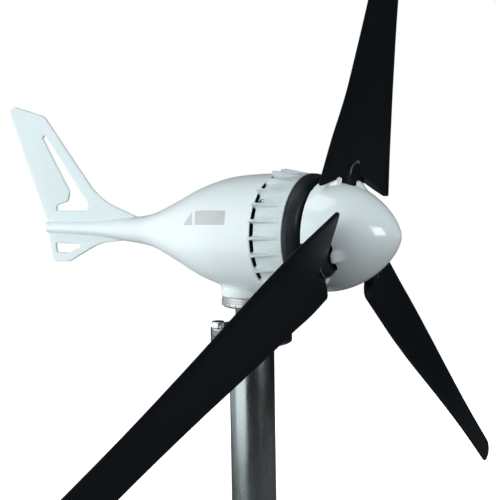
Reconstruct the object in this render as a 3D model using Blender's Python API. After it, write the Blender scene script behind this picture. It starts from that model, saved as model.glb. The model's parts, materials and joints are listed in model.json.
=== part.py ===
"""A small horizontal-axis wind turbine: three blades, a finned ring generator, a tail fin and a yaw head
bolted to the top of a tubular mast.

Frames: the world's origin is the centre of the mast's foot and +Z is up. The nose points to -Y. The head is
built about the yaw axis. The generator and the rotor are turned about their own Z, which points out of the
nose: its zero is the rotor plane, where the blade roots are clamped, and "forward" is the distance from it.
"""

import math

import bmesh
import bpy
from mathutils import Matrix, Vector

MM = 0.001
GAP = 0.3 * MM  # between two pieces that seat on each other

# Overall sizes
ROTOR_RADIUS = 600 * MM
HUB_HEIGHT = 750 * MM  # rotor axis above the mast's foot
HUB_OVERHANG = 151 * MM  # rotor plane ahead of the yaw axis
ROTOR_PHASE = math.radians(12)  # first blade from upright, towards +X
BLADE_COUNT = 3

# Mast and its flanged joint
MAST_RADIUS = 30.15 * MM
MAST_WALL = 3.65 * MM
FLANGE_RADIUS = 54 * MM
MAST_FLANGE_THICKNESS = 10 * MM
PIVOT_FLANGE_THICKNESS = 8 * MM
PIVOT_FLANGE_DROP = 125 * MM  # its top face below the rotor axis
MAST_FLANGE_BORE = 16 * MM
FLANGE_BOLT_COUNT = 4
FLANGE_BOLT_CIRCLE = 44 * MM
FLANGE_BOLT_TURN = math.radians(123.6)
FLANGE_BOLT_RADIUS = 5 * MM
FLANGE_BOLT_ACROSS = 16 * MM
FLANGE_BOLT_HEAD = 8 * MM

# Yaw head: a fixed hollow shaft inside the nacelle's neck, on two bearings
YAW_SHAFT_RADIUS = 20.8 * MM
YAW_SHAFT_BORE = 9 * MM
NECK_RADIUS = 38.5 * MM
NECK_DROP = 81.5 * MM  # bottom face of the neck below the rotor axis
NECK_BOSS_RADIUS = 34 * MM
NECK_BOSS_DROP = 36.5 * MM
NECK_BORE = 24 * MM
COLLAR_HEIGHT = 14 * MM
COLLAR_LIP = 2 * MM
COLLAR_GROOVE = 1.2 * MM
COLLAR_PLAY = 1.5 * MM  # running clearance of its lip about the yaw shaft
LOWER_YAW_BEARING = {"bore": 17.5 * MM, "outer": 31 * MM, "width": 14 * MM}
UPPER_YAW_BEARING = {"bore": 15 * MM, "outer": 27.5 * MM, "width": 13 * MM}
LOCK_NUT_RADIUS = 20.5 * MM
LOCK_NUT_HEIGHT = 7 * MM
YAW_THREAD_ABOVE_NUT = 2 * MM

# Slip rings on top of the yaw shaft, with the brushes that rub on them
SLIP_RING_COUNT = 3
SLIP_RING_RADIUS = 13 * MM
SLIP_RING_WALL = 3 * MM
SLIP_RING_HEIGHT = 6 * MM
SLIP_RING_PITCH = 9 * MM
SLIP_CORE_MARGIN = 4 * MM
BRUSH_WIDTH = 6 * MM
BRUSH_HEIGHT = 4 * MM
BRUSH_HOLDER_WIDTH = 24 * MM
BRUSH_HOLDER_DEPTH = 10 * MM

# Generator, from the rotor plane backwards
COVER_FRONT = -38 * MM
COVER_REAR = -56.5 * MM
COVER_THICKNESS = 6 * MM
COVER_ROUNDING = 5 * MM
COVER_RIM = 12 * MM
RING_REAR = -97 * MM
RING_FRONT_RIM = 4 * MM
RING_RADIUS = 76 * MM
RING_WALL = 8 * MM
RING_FRONT_STEP = 0.8 * MM  # its front edge stands out this far
RING_FLANGE_THICKNESS = 4 * MM
RING_FLANGE_WIDTH = 11 * MM
RIB_COUNT = 24
RIB_WIDTH = 3.2 * MM
RIB_HEIGHT = 7 * MM
RIB_ROOT_DEPTH = 6 * MM  # in the ring's wall
VENT_WIDTH = 4.2 * MM
SPIGOT_LENGTH = 14.5 * MM
SPIGOT_WALL = 4.2 * MM
CORE_FRONT = -68.5 * MM
CORE_LENGTH = 17.5 * MM
CORE_YOKE = 7.7 * MM
TOOTH_HEIGHT = 12.3 * MM
SLOT_COUNT = 12
SLOT_SHARE = 0.5  # of the slot pitch
WINDING_OVERHANG = 2 * MM  # of its heads, past the slots' bottoms
WINDING_HEAD = 4 * MM
AIR_GAP = 1 * MM
MAGNET_WALL = 4.7 * MM
POLE_COUNT = 8
POLE_GROOVE = 1.5 * MM
BEARING_PLATE_THICKNESS = 6 * MM
BEARING_PLATE_HUB_WALL = 5 * MM
FRONT_BEARING = {"bore": 10.3 * MM, "outer": 21 * MM, "width": 12 * MM}
REAR_BEARING = {"bore": 8.8 * MM, "outer": 17.5 * MM, "width": 10 * MM}
SHAFT_RADIUS = 12 * MM
SHAFT_REAR_STUB = 3 * MM

# Hub
HUB_PLATE_RADIUS = 60 * MM
HUB_PLATE_THICKNESS = 8 * MM
HUB_BOSS_RADIUS = 18 * MM
CLAMP_PLATE_RADIUS = 50 * MM
CLAMP_PLATE_THICKNESS = 4 * MM
HUB_SEAT_RADIUS = 9.8 * MM
SHAFT_NUT_ACROSS = 24 * MM
SHAFT_NUT_HEIGHT = 10 * MM
SHAFT_THREAD_ABOVE_NUT = 3 * MM
BLADE_BOLT_CIRCLES = (28 * MM, 45 * MM)
BLADE_BOLT_RADIUS = 4 * MM
BLADE_BOLT_ACROSS = 13 * MM
BLADE_BOLT_HEAD = 5.3 * MM

# Spinner
SPINNER_RADIUS = 69.7 * MM
SPINNER_REAR = -34.7 * MM
SPINNER_NOSE = 60.7 * MM
SPINNER_WALL = 2.5 * MM
SPINNER_FULLNESS = 1.84
SPINNER_NOSE_ROUNDING = 1.45
POST_WIDTH = 9 * MM
POST_CLEARANCE = 1.5 * MM  # outside the clamp plate
POST_SCREW_CIRCLE = 56 * MM
BUMP_RADIUS = 64.5 * MM
BUMP_SIDES = (-9.5 * MM, 5.5 * MM)
BUMP_LENGTH = 8.5 * MM
CUTOUT_MARGIN = 1.5 * MM

# Blades. Stations run from the rotor's axis outwards; twist is from the rotor plane.
ROOT_WIDTH = 38 * MM
ROOT_OFFSET = -3.5 * MM  # middle of the root, from the blade's pitch line towards the leading edge
ROOT_THICKNESS = 12 * MM
ROOT_INNER = 20 * MM
ROOT_OUTER = 71 * MM  # centre of the root's round end
BLADE_INNER = 74 * MM
BLADE_LEADING_CORNER = 56 * MM
BLADE_TRAILING_CORNER = 48 * MM
BLADE_CORNER_ROUNDING = 7 * MM
BLADE_CORNER_SHARE = 0.1  # of the half chord
BLADE_FIRST_FULL_SECTION = 115 * MM
CONE_ANGLE = math.radians(3.35)
CHORD_STATIONS = ((57, 120), (108, 109), (162, 95), (215, 84), (280, 70), (366, 54), (463, 42), (600, 35))
TWIST_STATIONS = ((60, 17.5), (205, 9), (410, 2.3), (600, 1.5))
LEADING_SHARE = ((60, 0.475), (108, 0.48), (172, 0.505), (600, 0.51))
THICKNESS_SHARE = 0.10
CAMBER_SHARE = 0.045
TRAILING_THICKNESS = 1.2 * MM
TIP_ROUNDING = 18 * MM

# Nacelle casting: distance behind its front edge, outer radius
NACELLE_STATIONS = (
    (0, 77.3),
    (27.5, 77),
    (70.6, 73.5),
    (113.6, 62),
    (156.7, 44.2),
    (210.5, 24),
    (264.4, 16.9),
    (329, 10.6),
    (431.5, 8.6),
)
NACELLE_WALL = 4 * MM
NACELLE_CAVITY_END = 185 * MM  # behind the front edge
BOOM_SLOT_LENGTH = 190 * MM

# Tail fin: corners (behind the boom's end, above the boom's axis, corner radius)
FIN_THICKNESS = 4 * MM
FIN_OUTLINE = (
    (-188.5, 18.5, 0),
    (-114, 44, 120),
    (-2, 173, 28),
    (82, 196, 10),
    (-1, 10, 0),
    (-9.5, -53, 9),
    (-46, -52.5, 22),
    (-112, -21.5, 110),
    (-188.5, -13.5, 0),
)
FIN_UPPER_WINDOW = (
    (-4, 144, 3),
    (4, 140, 3),
    (-52, 56, 9),
    (-48, 41, 6),
    (-23, 35, 5),
    (-22, 25.5, 2),
    (-89, 26.5, 3),
    (-91, 38, 8),
)
FIN_LOWER_WINDOW = (
    (-18, -24.5, 2),
    (-20, -38.5, 2),
    (-45, -39, 6),
    (-80, -24.5, 2),
)
TAIL_SCREW_PLACES = (-150 * MM, -32 * MM)  # from the boom's end

# Small screws
SCREW_RADIUS = 1.9 * MM
SCREW_HEAD_RADIUS = 3.5 * MM
SCREW_HEAD_HEIGHT = 2.2 * MM
HOLE_PLAY = 0.3 * MM
COVER_SCREW_INSET = 5 * MM  # from the ring's flange bore
SMALL_SCREW_COUNT = 3
HOUSING_SCREW_FORWARD = -92.5 * MM
HOUSING_SCREW_TURN = math.radians(-55.5)

FINISHES = {
    "white_paint": ((0.80, 0.86, 0.88), 0.28, 0.0),
    "cast_white": ((0.72, 0.80, 0.81), 0.42, 0.0),
    "graphite_paint": ((0.018, 0.024, 0.027), 0.45, 0.0),
    "black_plastic": ((0.008, 0.010, 0.012), 0.38, 0.0),
    "machined_aluminium": ((0.78, 0.80, 0.81), 0.25, 1.0),
    "steel": ((0.42, 0.45, 0.47), 0.35, 1.0),
    "copper": ((0.72, 0.33, 0.16), 0.35, 1.0),
    "laminated_steel": ((0.20, 0.21, 0.22), 0.50, 1.0),
    "magnet": ((0.30, 0.31, 0.32), 0.30, 1.0),
    "carbon": ((0.03, 0.03, 0.03), 0.60, 0.0),
    "insulator": ((0.35, 0.16, 0.05), 0.50, 0.0),
}


# ---------------------------------------------------------------- helpers


def clear_scene():
    for item in list(bpy.data.objects):
        bpy.data.objects.remove(item, do_unlink=True)


def finish(name):
    """The Principled material of this finish, made once."""
    found = bpy.data.materials.get(name)
    if found:
        return found
    colour, roughness, metallic = FINISHES[name]
    made = bpy.data.materials.new(name)
    made.use_nodes = True
    shader = made.node_tree.nodes["Principled BSDF"]
    shader.inputs["Base Color"].default_value = (*colour, 1.0)
    shader.inputs["Roughness"].default_value = roughness
    shader.inputs["Metallic"].default_value = metallic
    return made


def axis_empty(name, parent, location, rotation=(0.0, 0.0, 0.0)):
    empty = bpy.data.objects.new(name, None)
    bpy.context.scene.collection.objects.link(empty)
    empty.parent = parent
    empty.location = location
    empty.rotation_euler = rotation
    return empty


def add_object(name, mesh, parent, rotation=(0.0, 0.0, 0.0), location=(0.0, 0.0, 0.0)):
    item = bpy.data.objects.new(name, mesh)
    bpy.context.scene.collection.objects.link(item)
    item.parent = parent
    item.rotation_euler = rotation
    item.location = location
    return item


def mesh_from(name, shape, finish_name):
    """A mesh from a bmesh, which is freed."""
    mesh = bpy.data.meshes.new(name)
    shape.to_mesh(mesh)
    shape.free()
    mesh.materials.append(finish(finish_name))
    mesh.shade_smooth()
    mesh.set_sharp_from_angle(angle=math.radians(30))
    return mesh


def piece(name, shape, finish_name, parent, rotation=(0.0, 0.0, 0.0), location=(0.0, 0.0, 0.0)):
    return add_object(name, mesh_from(name, shape, finish_name), parent, rotation, location)


def combine(target, operation, shape, label):
    """Adds a boolean with a hidden tool that stands in the target's own frame."""
    tool = piece(f"{target.name}_{label}", shape, "steel", target.parent, target.rotation_euler, target.location)
    tool.hide_render = True
    tool.display_type = "WIRE"
    modifier = target.modifiers.new(label, "BOOLEAN")
    modifier.operation = operation
    modifier.solver = "EXACT"
    modifier.object = tool
    return tool


def facets(radius):
    """Sides of a round piece of this radius."""
    if radius > 35 * MM:
        return 32
    if radius > 16 * MM:
        return 20
    return 16


def outward(shape):
    """Turns the faces of one closed shape outwards. It runs before shapes are put together."""
    bmesh.ops.recalc_face_normals(shape, faces=shape.faces)
    return shape


def turned(profile, sides=None):
    """A shape turned about Z from a closed loop of (radius, height) points; a radius of zero is on the axis."""
    shape = bmesh.new()
    sides = sides or facets(max(radius for radius, _ in profile))
    rings = []
    for radius, height in profile:
        if radius == 0:
            rings.append([shape.verts.new((0, 0, height))] * sides)
            continue
        angles = [2 * math.pi * side / sides for side in range(sides)]
        rings.append([shape.verts.new((radius * math.cos(a), radius * math.sin(a), height)) for a in angles])
    for ring, following in zip(rings, rings[1:] + rings[:1]):
        for side in range(sides):
            after = (side + 1) % sides
            corners = dict.fromkeys((ring[side], ring[after], following[after], following[side]))
            if len(corners) > 2:
                shape.faces.new(list(corners))
    return outward(shape)


def tube(outer, inner, low, high):
    return turned([(inner, low), (outer, low), (outer, high), (inner, high)])


def rod(radius, low, high, sides=None):
    return turned([(0, low), (radius, low), (radius, high), (0, high)], sides)


def loft(rings, strip_caps=False, closed=False):
    """A shape through rings of equally many points: capped at both ends, or closed from last to first. Strip
    caps join the two halves of an odd ring, which meet at its first point."""
    shape = bmesh.new()
    verts = [[shape.verts.new(point) for point in ring] for ring in rings]
    count = len(rings[0])
    for ring, following in zip(verts, verts[1:] + verts[: int(closed)]):
        for index in range(count):
            after = (index + 1) % count
            shape.faces.new((ring[index], ring[after], following[after], following[index]))
    for ring in () if closed else (verts[0], verts[-1]):
        if not strip_caps:
            shape.faces.new(ring)
            continue
        for index in range(count // 2):
            corners = (ring[index], ring[index + 1], ring[-index - 1], ring[-index])
            shape.faces.new(list(dict.fromkeys(corners)))
    return outward(shape)


def prism(outline, low, high, frame=None):
    """A flat outline of (x, y) points raised along Z, then placed by a matrix."""
    shape = loft([[(x, y, low) for x, y in outline], [(x, y, high) for x, y in outline]])
    return moved(shape, frame) if frame else shape


def block(low, high):
    corners = [(low[0], low[1]), (high[0], low[1]), (high[0], high[1]), (low[0], high[1])]
    return prism(corners, low[2], high[2])


def merged(shapes):
    """One bmesh that holds several shapes apart from each other."""
    whole = bmesh.new()
    for shape in shapes:
        scratch = bpy.data.meshes.new("scratch")
        shape.to_mesh(scratch)
        shape.free()
        whole.from_mesh(scratch)
        bpy.data.meshes.remove(scratch)
    return whole


def moved(shape, matrix):
    """The shape in a new place, with its faces still outwards when the matrix mirrors it."""
    shape.transform(matrix)
    if matrix.determinant() < 0:
        bmesh.ops.reverse_faces(shape, faces=shape.faces)
    return shape


def turn(angle, axis="Z"):
    return Matrix.Rotation(angle, 4, axis)


def shift(x, y, z):
    return Matrix.Translation((x, y, z))


def spread(count, first=0.0):
    """Equal angles about an axis."""
    return [first + 2 * math.pi * index / count for index in range(count)]


def circle_points(radius, height, count):
    return [(radius * math.cos(a), radius * math.sin(a), height) for a in spread(count)]


def hexagon_points(across, height):
    """Twelve points round a hexagon: its corners and the middles of its flats."""
    corner = across / math.sqrt(3)
    points = []
    for index, angle in enumerate(spread(12)):
        radius = across / 2 if index % 2 else corner
        points.append((radius * math.cos(angle), radius * math.sin(angle), height))
    return points


def hex_bolt(shank_radius, across, head, seat, tip):
    """A bolt along Z: the head stands on the seat and the shank runs to the tip."""
    up = math.copysign(head, seat - tip)
    return loft(
        [
            circle_points(shank_radius, tip, 12),
            circle_points(shank_radius, seat, 12),
            hexagon_points(across, seat),
            hexagon_points(across, seat + up),
        ]
    )


def pan_screw(seat, tip):
    """A small screw along Z, its head on the seat."""
    up = math.copysign(SCREW_HEAD_HEIGHT, seat - tip)
    profile = [
        (0, tip),
        (SCREW_RADIUS, tip),
        (SCREW_RADIUS, seat),
        (SCREW_HEAD_RADIUS, seat),
        (SCREW_HEAD_RADIUS, seat + up),
        (0, seat + up),
    ]
    return turned(profile, 10)


def smooth(stations, place):
    """A smooth curve through (place, value) stations, straight on past its ends."""
    last = len(stations) - 1
    slopes = []
    for index in range(last + 1):
        before = stations[max(index - 1, 0)]
        after = stations[min(index + 1, last)]
        slopes.append((after[1] - before[1]) / (after[0] - before[0]))
    if place <= stations[0][0]:
        return stations[0][1] + slopes[0] * (place - stations[0][0])
    if place >= stations[last][0]:
        return stations[last][1] + slopes[last] * (place - stations[last][0])
    index = max(i for i in range(last) if stations[i][0] <= place)
    (x0, y0), (x1, y1) = stations[index], stations[index + 1]
    span = x1 - x0
    s = (place - x0) / span
    rise = (1 + 2 * s) * (1 - s) ** 2 * y0 + s * s * (3 - 2 * s) * y1
    lean = s * (1 - s) ** 2 * span * slopes[index] - s * s * (1 - s) * span * slopes[index + 1]
    return rise + lean


def rounded(corners, steps=4):
    """An outline in metres from millimetre corners, each with its own fillet radius."""
    outline = []
    for index, (x, y, radius) in enumerate(corners):
        here = Vector((x, y)) * MM
        before = Vector(corners[index - 1][:2]) * MM - here
        after = Vector(corners[(index + 1) % len(corners)][:2]) * MM - here
        if radius == 0:
            outline.append(tuple(here))
            continue
        half = before.angle(after) / 2
        reach = min(radius * MM / math.tan(half), 0.49 * before.length, 0.49 * after.length)
        first = here + before.normalized() * reach
        last = here + after.normalized() * reach
        middle = here + (before.normalized() + after.normalized()).normalized() * reach / math.cos(half)
        sweep = (first - middle).angle_signed(last - middle)
        for step in range(steps + 1):
            spoke = (first - middle).copy()
            spoke.rotate(Matrix.Rotation(-sweep * step / steps, 2))
            outline.append(tuple(middle + spoke))
    return outline


# ---------------------------------------------------------------- levels worked out from the sizes

PIVOT_FLANGE_TOP = -PIVOT_FLANGE_DROP
PIVOT_FLANGE_BOTTOM = PIVOT_FLANGE_TOP - PIVOT_FLANGE_THICKNESS
MAST_FLANGE_TOP = PIVOT_FLANGE_BOTTOM - GAP
MAST_FLANGE_BOTTOM = MAST_FLANGE_TOP - MAST_FLANGE_THICKNESS
COLLAR_TOP = -NECK_DROP - GAP
COLLAR_BOTTOM = COLLAR_TOP - COLLAR_HEIGHT
LOWER_BEARING_BOTTOM = COLLAR_BOTTOM + COLLAR_LIP + GAP
LOWER_BEARING_TOP = LOWER_BEARING_BOTTOM + LOWER_YAW_BEARING["width"]
UPPER_BEARING_TOP = -NECK_BOSS_DROP - 1.5 * MM
UPPER_BEARING_BOTTOM = UPPER_BEARING_TOP - UPPER_YAW_BEARING["width"]
LOCK_NUT_BOTTOM = UPPER_BEARING_TOP + GAP
LOCK_NUT_TOP = LOCK_NUT_BOTTOM + LOCK_NUT_HEIGHT
YAW_SHAFT_TOP = LOCK_NUT_TOP + YAW_THREAD_ABOVE_NUT
SLIP_CORE_BOTTOM = YAW_SHAFT_TOP + GAP
SLIP_CORE_RADIUS = SLIP_RING_RADIUS - SLIP_RING_WALL - GAP
SLIP_CORE_TOP = SLIP_CORE_BOTTOM + 2 * SLIP_CORE_MARGIN + (SLIP_RING_COUNT - 1) * SLIP_RING_PITCH + SLIP_RING_HEIGHT
NACELLE_FRONT = RING_REAR - VENT_WIDTH - GAP
RING_FRONT_RADIUS = RING_RADIUS + RING_FRONT_STEP
RING_BORE = RING_RADIUS - RING_WALL
RING_FLANGE_BORE = RING_BORE - RING_FLANGE_WIDTH
RIB_TIP_RADIUS = RING_RADIUS + RIB_HEIGHT
RIB_ROOT_RADIUS = RING_RADIUS - RIB_ROOT_DEPTH
COVER_RADIUS = RING_FRONT_RADIUS
COVER_SCREW_CIRCLE = RING_FLANGE_BORE + COVER_SCREW_INSET
SPIGOT_RADIUS = RING_BORE - GAP
CORE_RADIUS = RING_BORE - GAP
SLOT_BOTTOM = CORE_RADIUS - CORE_YOKE
CORE_BORE = SLOT_BOTTOM - TOOTH_HEIGHT
WINDING_OUTER = SLOT_BOTTOM + WINDING_OVERHANG
CORE_REAR = CORE_FRONT - CORE_LENGTH
MAGNET_RADIUS = CORE_BORE - AIR_GAP
DRUM_RADIUS = MAGNET_RADIUS - MAGNET_WALL - GAP
BEARING_PLATE_FRONT = CORE_REAR - WINDING_HEAD - MM
REAR_BEARING_FRONT = BEARING_PLATE_FRONT
REAR_BEARING_REAR = REAR_BEARING_FRONT - REAR_BEARING["width"]
HUB_PLATE_FRONT = -ROOT_THICKNESS - GAP
HUB_PLATE_REAR = HUB_PLATE_FRONT - HUB_PLATE_THICKNESS
CLAMP_PLATE_FRONT = GAP + CLAMP_PLATE_THICKNESS
BOLT_SEAT = CLAMP_PLATE_FRONT + GAP
SHAFT_FRONT = BOLT_SEAT + SHAFT_NUT_HEIGHT + SHAFT_THREAD_ABOVE_NUT
BOOM_LENGTH = NACELLE_STATIONS[-1][0] * MM
BOOM_END = -NACELLE_FRONT - HUB_OVERHANG + BOOM_LENGTH  # behind the yaw axis
BLADE_ANGLES = spread(BLADE_COUNT)
POST_ANGLES = spread(BLADE_COUNT, math.pi / BLADE_COUNT)
POST_INNER = CLAMP_PLATE_RADIUS + POST_CLEARANCE


def nacelle_radius(behind):
    return smooth(NACELLE_STATIONS, behind / MM) * MM


def spinner_radius(forward):
    share = (forward - SPINNER_REAR) / (SPINNER_NOSE - SPINNER_REAR)
    return SPINNER_RADIUS * max(1 - share**SPINNER_FULLNESS, 0) ** (1 / SPINNER_NOSE_ROUNDING)


# ---------------------------------------------------------------- mast and yaw head


def flange_bolt_frames():
    return [turn(angle) @ shift(FLANGE_BOLT_CIRCLE, 0, 0) for angle in spread(FLANGE_BOLT_COUNT, FLANGE_BOLT_TURN)]


def make_mast(head):
    foot = -HUB_HEIGHT
    top = MAST_FLANGE_BOTTOM - GAP
    piece("mast_tube", tube(MAST_RADIUS, MAST_RADIUS - MAST_WALL, foot, top), "steel", head)
    flange = piece(
        "mast_flange",
        tube(FLANGE_RADIUS, MAST_FLANGE_BORE, MAST_FLANGE_BOTTOM, MAST_FLANGE_TOP),
        "steel",
        head,
    )
    pivot = piece(
        "pivot_flange",
        tube(FLANGE_RADIUS, YAW_SHAFT_RADIUS + GAP, PIVOT_FLANGE_BOTTOM, PIVOT_FLANGE_TOP),
        "steel",
        head,
    )
    for target in (flange, pivot):
        holes = []
        for frame in flange_bolt_frames():
            hole = rod(FLANGE_BOLT_RADIUS + HOLE_PLAY, MAST_FLANGE_BOTTOM - MM, PIVOT_FLANGE_TOP + MM)
            holes.append(moved(hole, frame))
        combine(target, "DIFFERENCE", merged(holes), "bolt_holes")
    seat = PIVOT_FLANGE_TOP + GAP
    bolt = hex_bolt(FLANGE_BOLT_RADIUS, FLANGE_BOLT_ACROSS, FLANGE_BOLT_HEAD, seat, MAST_FLANGE_BOTTOM)
    mesh = mesh_from("flange_bolt", bolt, "steel")
    for number, frame in enumerate(flange_bolt_frames(), 1):
        add_object(f"flange_bolt_{number}", mesh, head, frame.to_euler(), frame.to_translation())


def make_yaw_shaft(head):
    lower_seat = LOWER_YAW_BEARING["bore"] - GAP
    upper_seat = UPPER_YAW_BEARING["bore"] - GAP
    step = LOWER_BEARING_BOTTOM - GAP
    waist = UPPER_BEARING_BOTTOM - GAP
    profile = [
        (YAW_SHAFT_BORE, PIVOT_FLANGE_BOTTOM),
        (YAW_SHAFT_RADIUS, PIVOT_FLANGE_BOTTOM),
        (YAW_SHAFT_RADIUS, step),
        (lower_seat, step),
        (lower_seat, waist),
        (upper_seat, waist),
        (upper_seat, YAW_SHAFT_TOP),
        (YAW_SHAFT_BORE, YAW_SHAFT_TOP),
    ]
    piece("yaw_shaft", turned(profile), "steel", head)
    bore = UPPER_YAW_BEARING["bore"]
    piece("yaw_lock_nut", tube(LOCK_NUT_RADIUS, bore, LOCK_NUT_BOTTOM, LOCK_NUT_TOP), "steel", head)


def make_bearing(name, bearing, low, inner_parent, outer_parent):
    """Two races about Z with running clearance between them."""
    high = low + bearing["width"]
    middle = (bearing["outer"] + bearing["bore"]) / 2
    piece(f"{name}_inner_race", tube(middle - GAP, bearing["bore"], low, high), "steel", inner_parent)
    piece(f"{name}_outer_race", tube(bearing["outer"], middle + GAP, low, high), "steel", outer_parent)


def make_slip_rings(head):
    core = rod(SLIP_CORE_RADIUS, SLIP_CORE_BOTTOM, SLIP_CORE_TOP)
    piece("slip_ring_core", core, "insulator", head)
    for index in range(SLIP_RING_COUNT):
        low = SLIP_CORE_BOTTOM + SLIP_CORE_MARGIN + index * SLIP_RING_PITCH
        ring = tube(SLIP_RING_RADIUS, SLIP_RING_RADIUS - SLIP_RING_WALL, low, low + SLIP_RING_HEIGHT)
        piece(f"slip_ring_{index + 1}", ring, "copper", head)


def make_brushes(nacelle):
    front = LOCK_NUT_RADIUS + MM
    half = BRUSH_HOLDER_WIDTH / 2
    low = -NECK_BOSS_DROP + GAP
    holder = block((-half, front, low), (half, front + BRUSH_HOLDER_DEPTH, SLIP_CORE_TOP))
    piece("brush_holder", holder, "insulator", nacelle)
    for index in range(SLIP_RING_COUNT):
        middle = SLIP_CORE_BOTTOM + SLIP_CORE_MARGIN + index * SLIP_RING_PITCH + SLIP_RING_HEIGHT / 2
        low_corner = (-BRUSH_WIDTH / 2, SLIP_RING_RADIUS + GAP, middle - BRUSH_HEIGHT / 2)
        high_corner = (BRUSH_WIDTH / 2, front - GAP, middle + BRUSH_HEIGHT / 2)
        piece(f"brush_{index + 1}", block(low_corner, high_corner), "carbon", nacelle)


def make_yaw_collar(nacelle):
    groove = NECK_RADIUS - COLLAR_GROOVE
    seat = LOWER_YAW_BEARING["outer"] + GAP
    bore = YAW_SHAFT_RADIUS + COLLAR_PLAY
    lip = COLLAR_BOTTOM + COLLAR_LIP
    chamfer = COLLAR_HEIGHT / 8
    groove_top = COLLAR_TOP - COLLAR_HEIGHT / 4
    groove_bottom = groove_top - COLLAR_GROOVE
    profile = [
        (bore, COLLAR_BOTTOM),
        (NECK_RADIUS - chamfer, COLLAR_BOTTOM),
        (NECK_RADIUS, COLLAR_BOTTOM + chamfer),
        (NECK_RADIUS, groove_bottom),
        (groove, groove_bottom),
        (groove, groove_top),
        (NECK_RADIUS, groove_top),
        (NECK_RADIUS, COLLAR_TOP),
        (seat, COLLAR_TOP),
        (seat, lip),
        (bore, lip),
    ]
    piece("yaw_collar", turned(profile), "machined_aluminium", nacelle)


# ---------------------------------------------------------------- nacelle casting and tail


def nacelle_casting_shape():
    """The hollow body and the boom, turned about the rotor's axis, with the spigot inside the ring."""
    steps = 11
    cavity_steps = 5
    outside = []
    for index in range(steps + 1):
        behind = BOOM_LENGTH * index / steps
        outside.append((nacelle_radius(behind), NACELLE_FRONT - behind))
    cavity = []
    for index in range(cavity_steps + 1):
        behind = 6 * MM + (NACELLE_CAVITY_END - 6 * MM) * (1 - index / cavity_steps)
        cavity.append((nacelle_radius(behind) - NACELLE_WALL, NACELLE_FRONT - behind))
    end = NACELLE_FRONT - BOOM_LENGTH
    boom_end = [(nacelle_radius(BOOM_LENGTH) - 1.5 * MM, end - 1.5 * MM), (0, end - 1.5 * MM)]
    cavity_end = [(0, NACELLE_FRONT - NACELLE_CAVITY_END)]
    spigot_bore = SPIGOT_RADIUS - SPIGOT_WALL
    spigot = [
        (spigot_bore, NACELLE_FRONT - 6 * MM),
        (spigot_bore, NACELLE_FRONT + SPIGOT_LENGTH),
        (SPIGOT_RADIUS, NACELLE_FRONT + SPIGOT_LENGTH),
        (SPIGOT_RADIUS, NACELLE_FRONT),
    ]
    return turned(outside + boom_end + cavity_end + cavity + spigot)


def make_nacelle(nacelle, generator):
    casting = piece("nacelle_housing", nacelle_casting_shape(), "white_paint", generator)
    upright = generator.matrix_basis.inverted()
    half = FIN_THICKNESS / 2 + GAP
    tall = 2 * nacelle_radius(BOOM_LENGTH - BOOM_SLOT_LENGTH)
    slot = block((-half, BOOM_END - BOOM_SLOT_LENGTH, -tall), (half, BOOM_END + 10 * MM, tall))
    combine(casting, "DIFFERENCE", moved(merged(tail_screw_tools()), upright), "tail_screw_holes")
    combine(casting, "DIFFERENCE", moved(slot, upright), "fin_slot")
    combine(casting, "DIFFERENCE", merged(housing_screw_tools()), "screw_holes")
    combine(casting, "UNION", moved(neck_shape(), upright), "neck")
    combine(casting, "DIFFERENCE", moved(neck_bore_shape(), upright), "neck_bore")


def neck_shape():
    """The neck below the body and the boss that stands inside it, about the yaw axis."""
    blend = -NECK_DROP + 22 * MM
    profile = [
        (0, -NECK_DROP),
        (NECK_RADIUS, -NECK_DROP),
        (NECK_RADIUS, blend),
        (NECK_BOSS_RADIUS, blend + NECK_RADIUS - NECK_BOSS_RADIUS),
        (NECK_BOSS_RADIUS, -NECK_BOSS_DROP),
        (0, -NECK_BOSS_DROP),
    ]
    return turned(profile)


def neck_bore_shape():
    """Both bearing seats and the bore between them."""
    lower = LOWER_YAW_BEARING["outer"] + GAP
    upper = UPPER_YAW_BEARING["outer"] + GAP
    profile = [
        (0, -NECK_DROP - MM),
        (lower, -NECK_DROP - MM),
        (lower, LOWER_BEARING_TOP + GAP),
        (NECK_BORE, LOWER_BEARING_TOP + GAP),
        (NECK_BORE, UPPER_BEARING_BOTTOM - GAP),
        (upper, UPPER_BEARING_BOTTOM - GAP),
        (upper, -NECK_BOSS_DROP + MM),
        (0, -NECK_BOSS_DROP + MM),
    ]
    return turned(profile)


def tail_screw_reach(place):
    """From the fin's middle to the boom's skin at this place along the boom."""
    return nacelle_radius(BOOM_LENGTH + place)


def tail_screw_frame(place):
    """Z along the screw, towards its head on the +X side."""
    return shift(0, BOOM_END + place, 0) @ turn(math.pi / 2, "Y")


def tail_screw_tools():
    tools = []
    for place in TAIL_SCREW_PLACES:
        reach = tail_screw_reach(place)
        radius = SCREW_RADIUS + HOLE_PLAY
        head = SCREW_HEAD_RADIUS + HOLE_PLAY
        seat = reach - SCREW_HEAD_HEIGHT - GAP
        profile = [(0, 2 * MM - reach), (radius, 2 * MM - reach), (radius, seat), (head, seat), (head, reach + 5 * MM)]
        tools.append(moved(turned(profile + [(0, reach + 5 * MM)], 12), tail_screw_frame(place)))
    return tools


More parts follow.
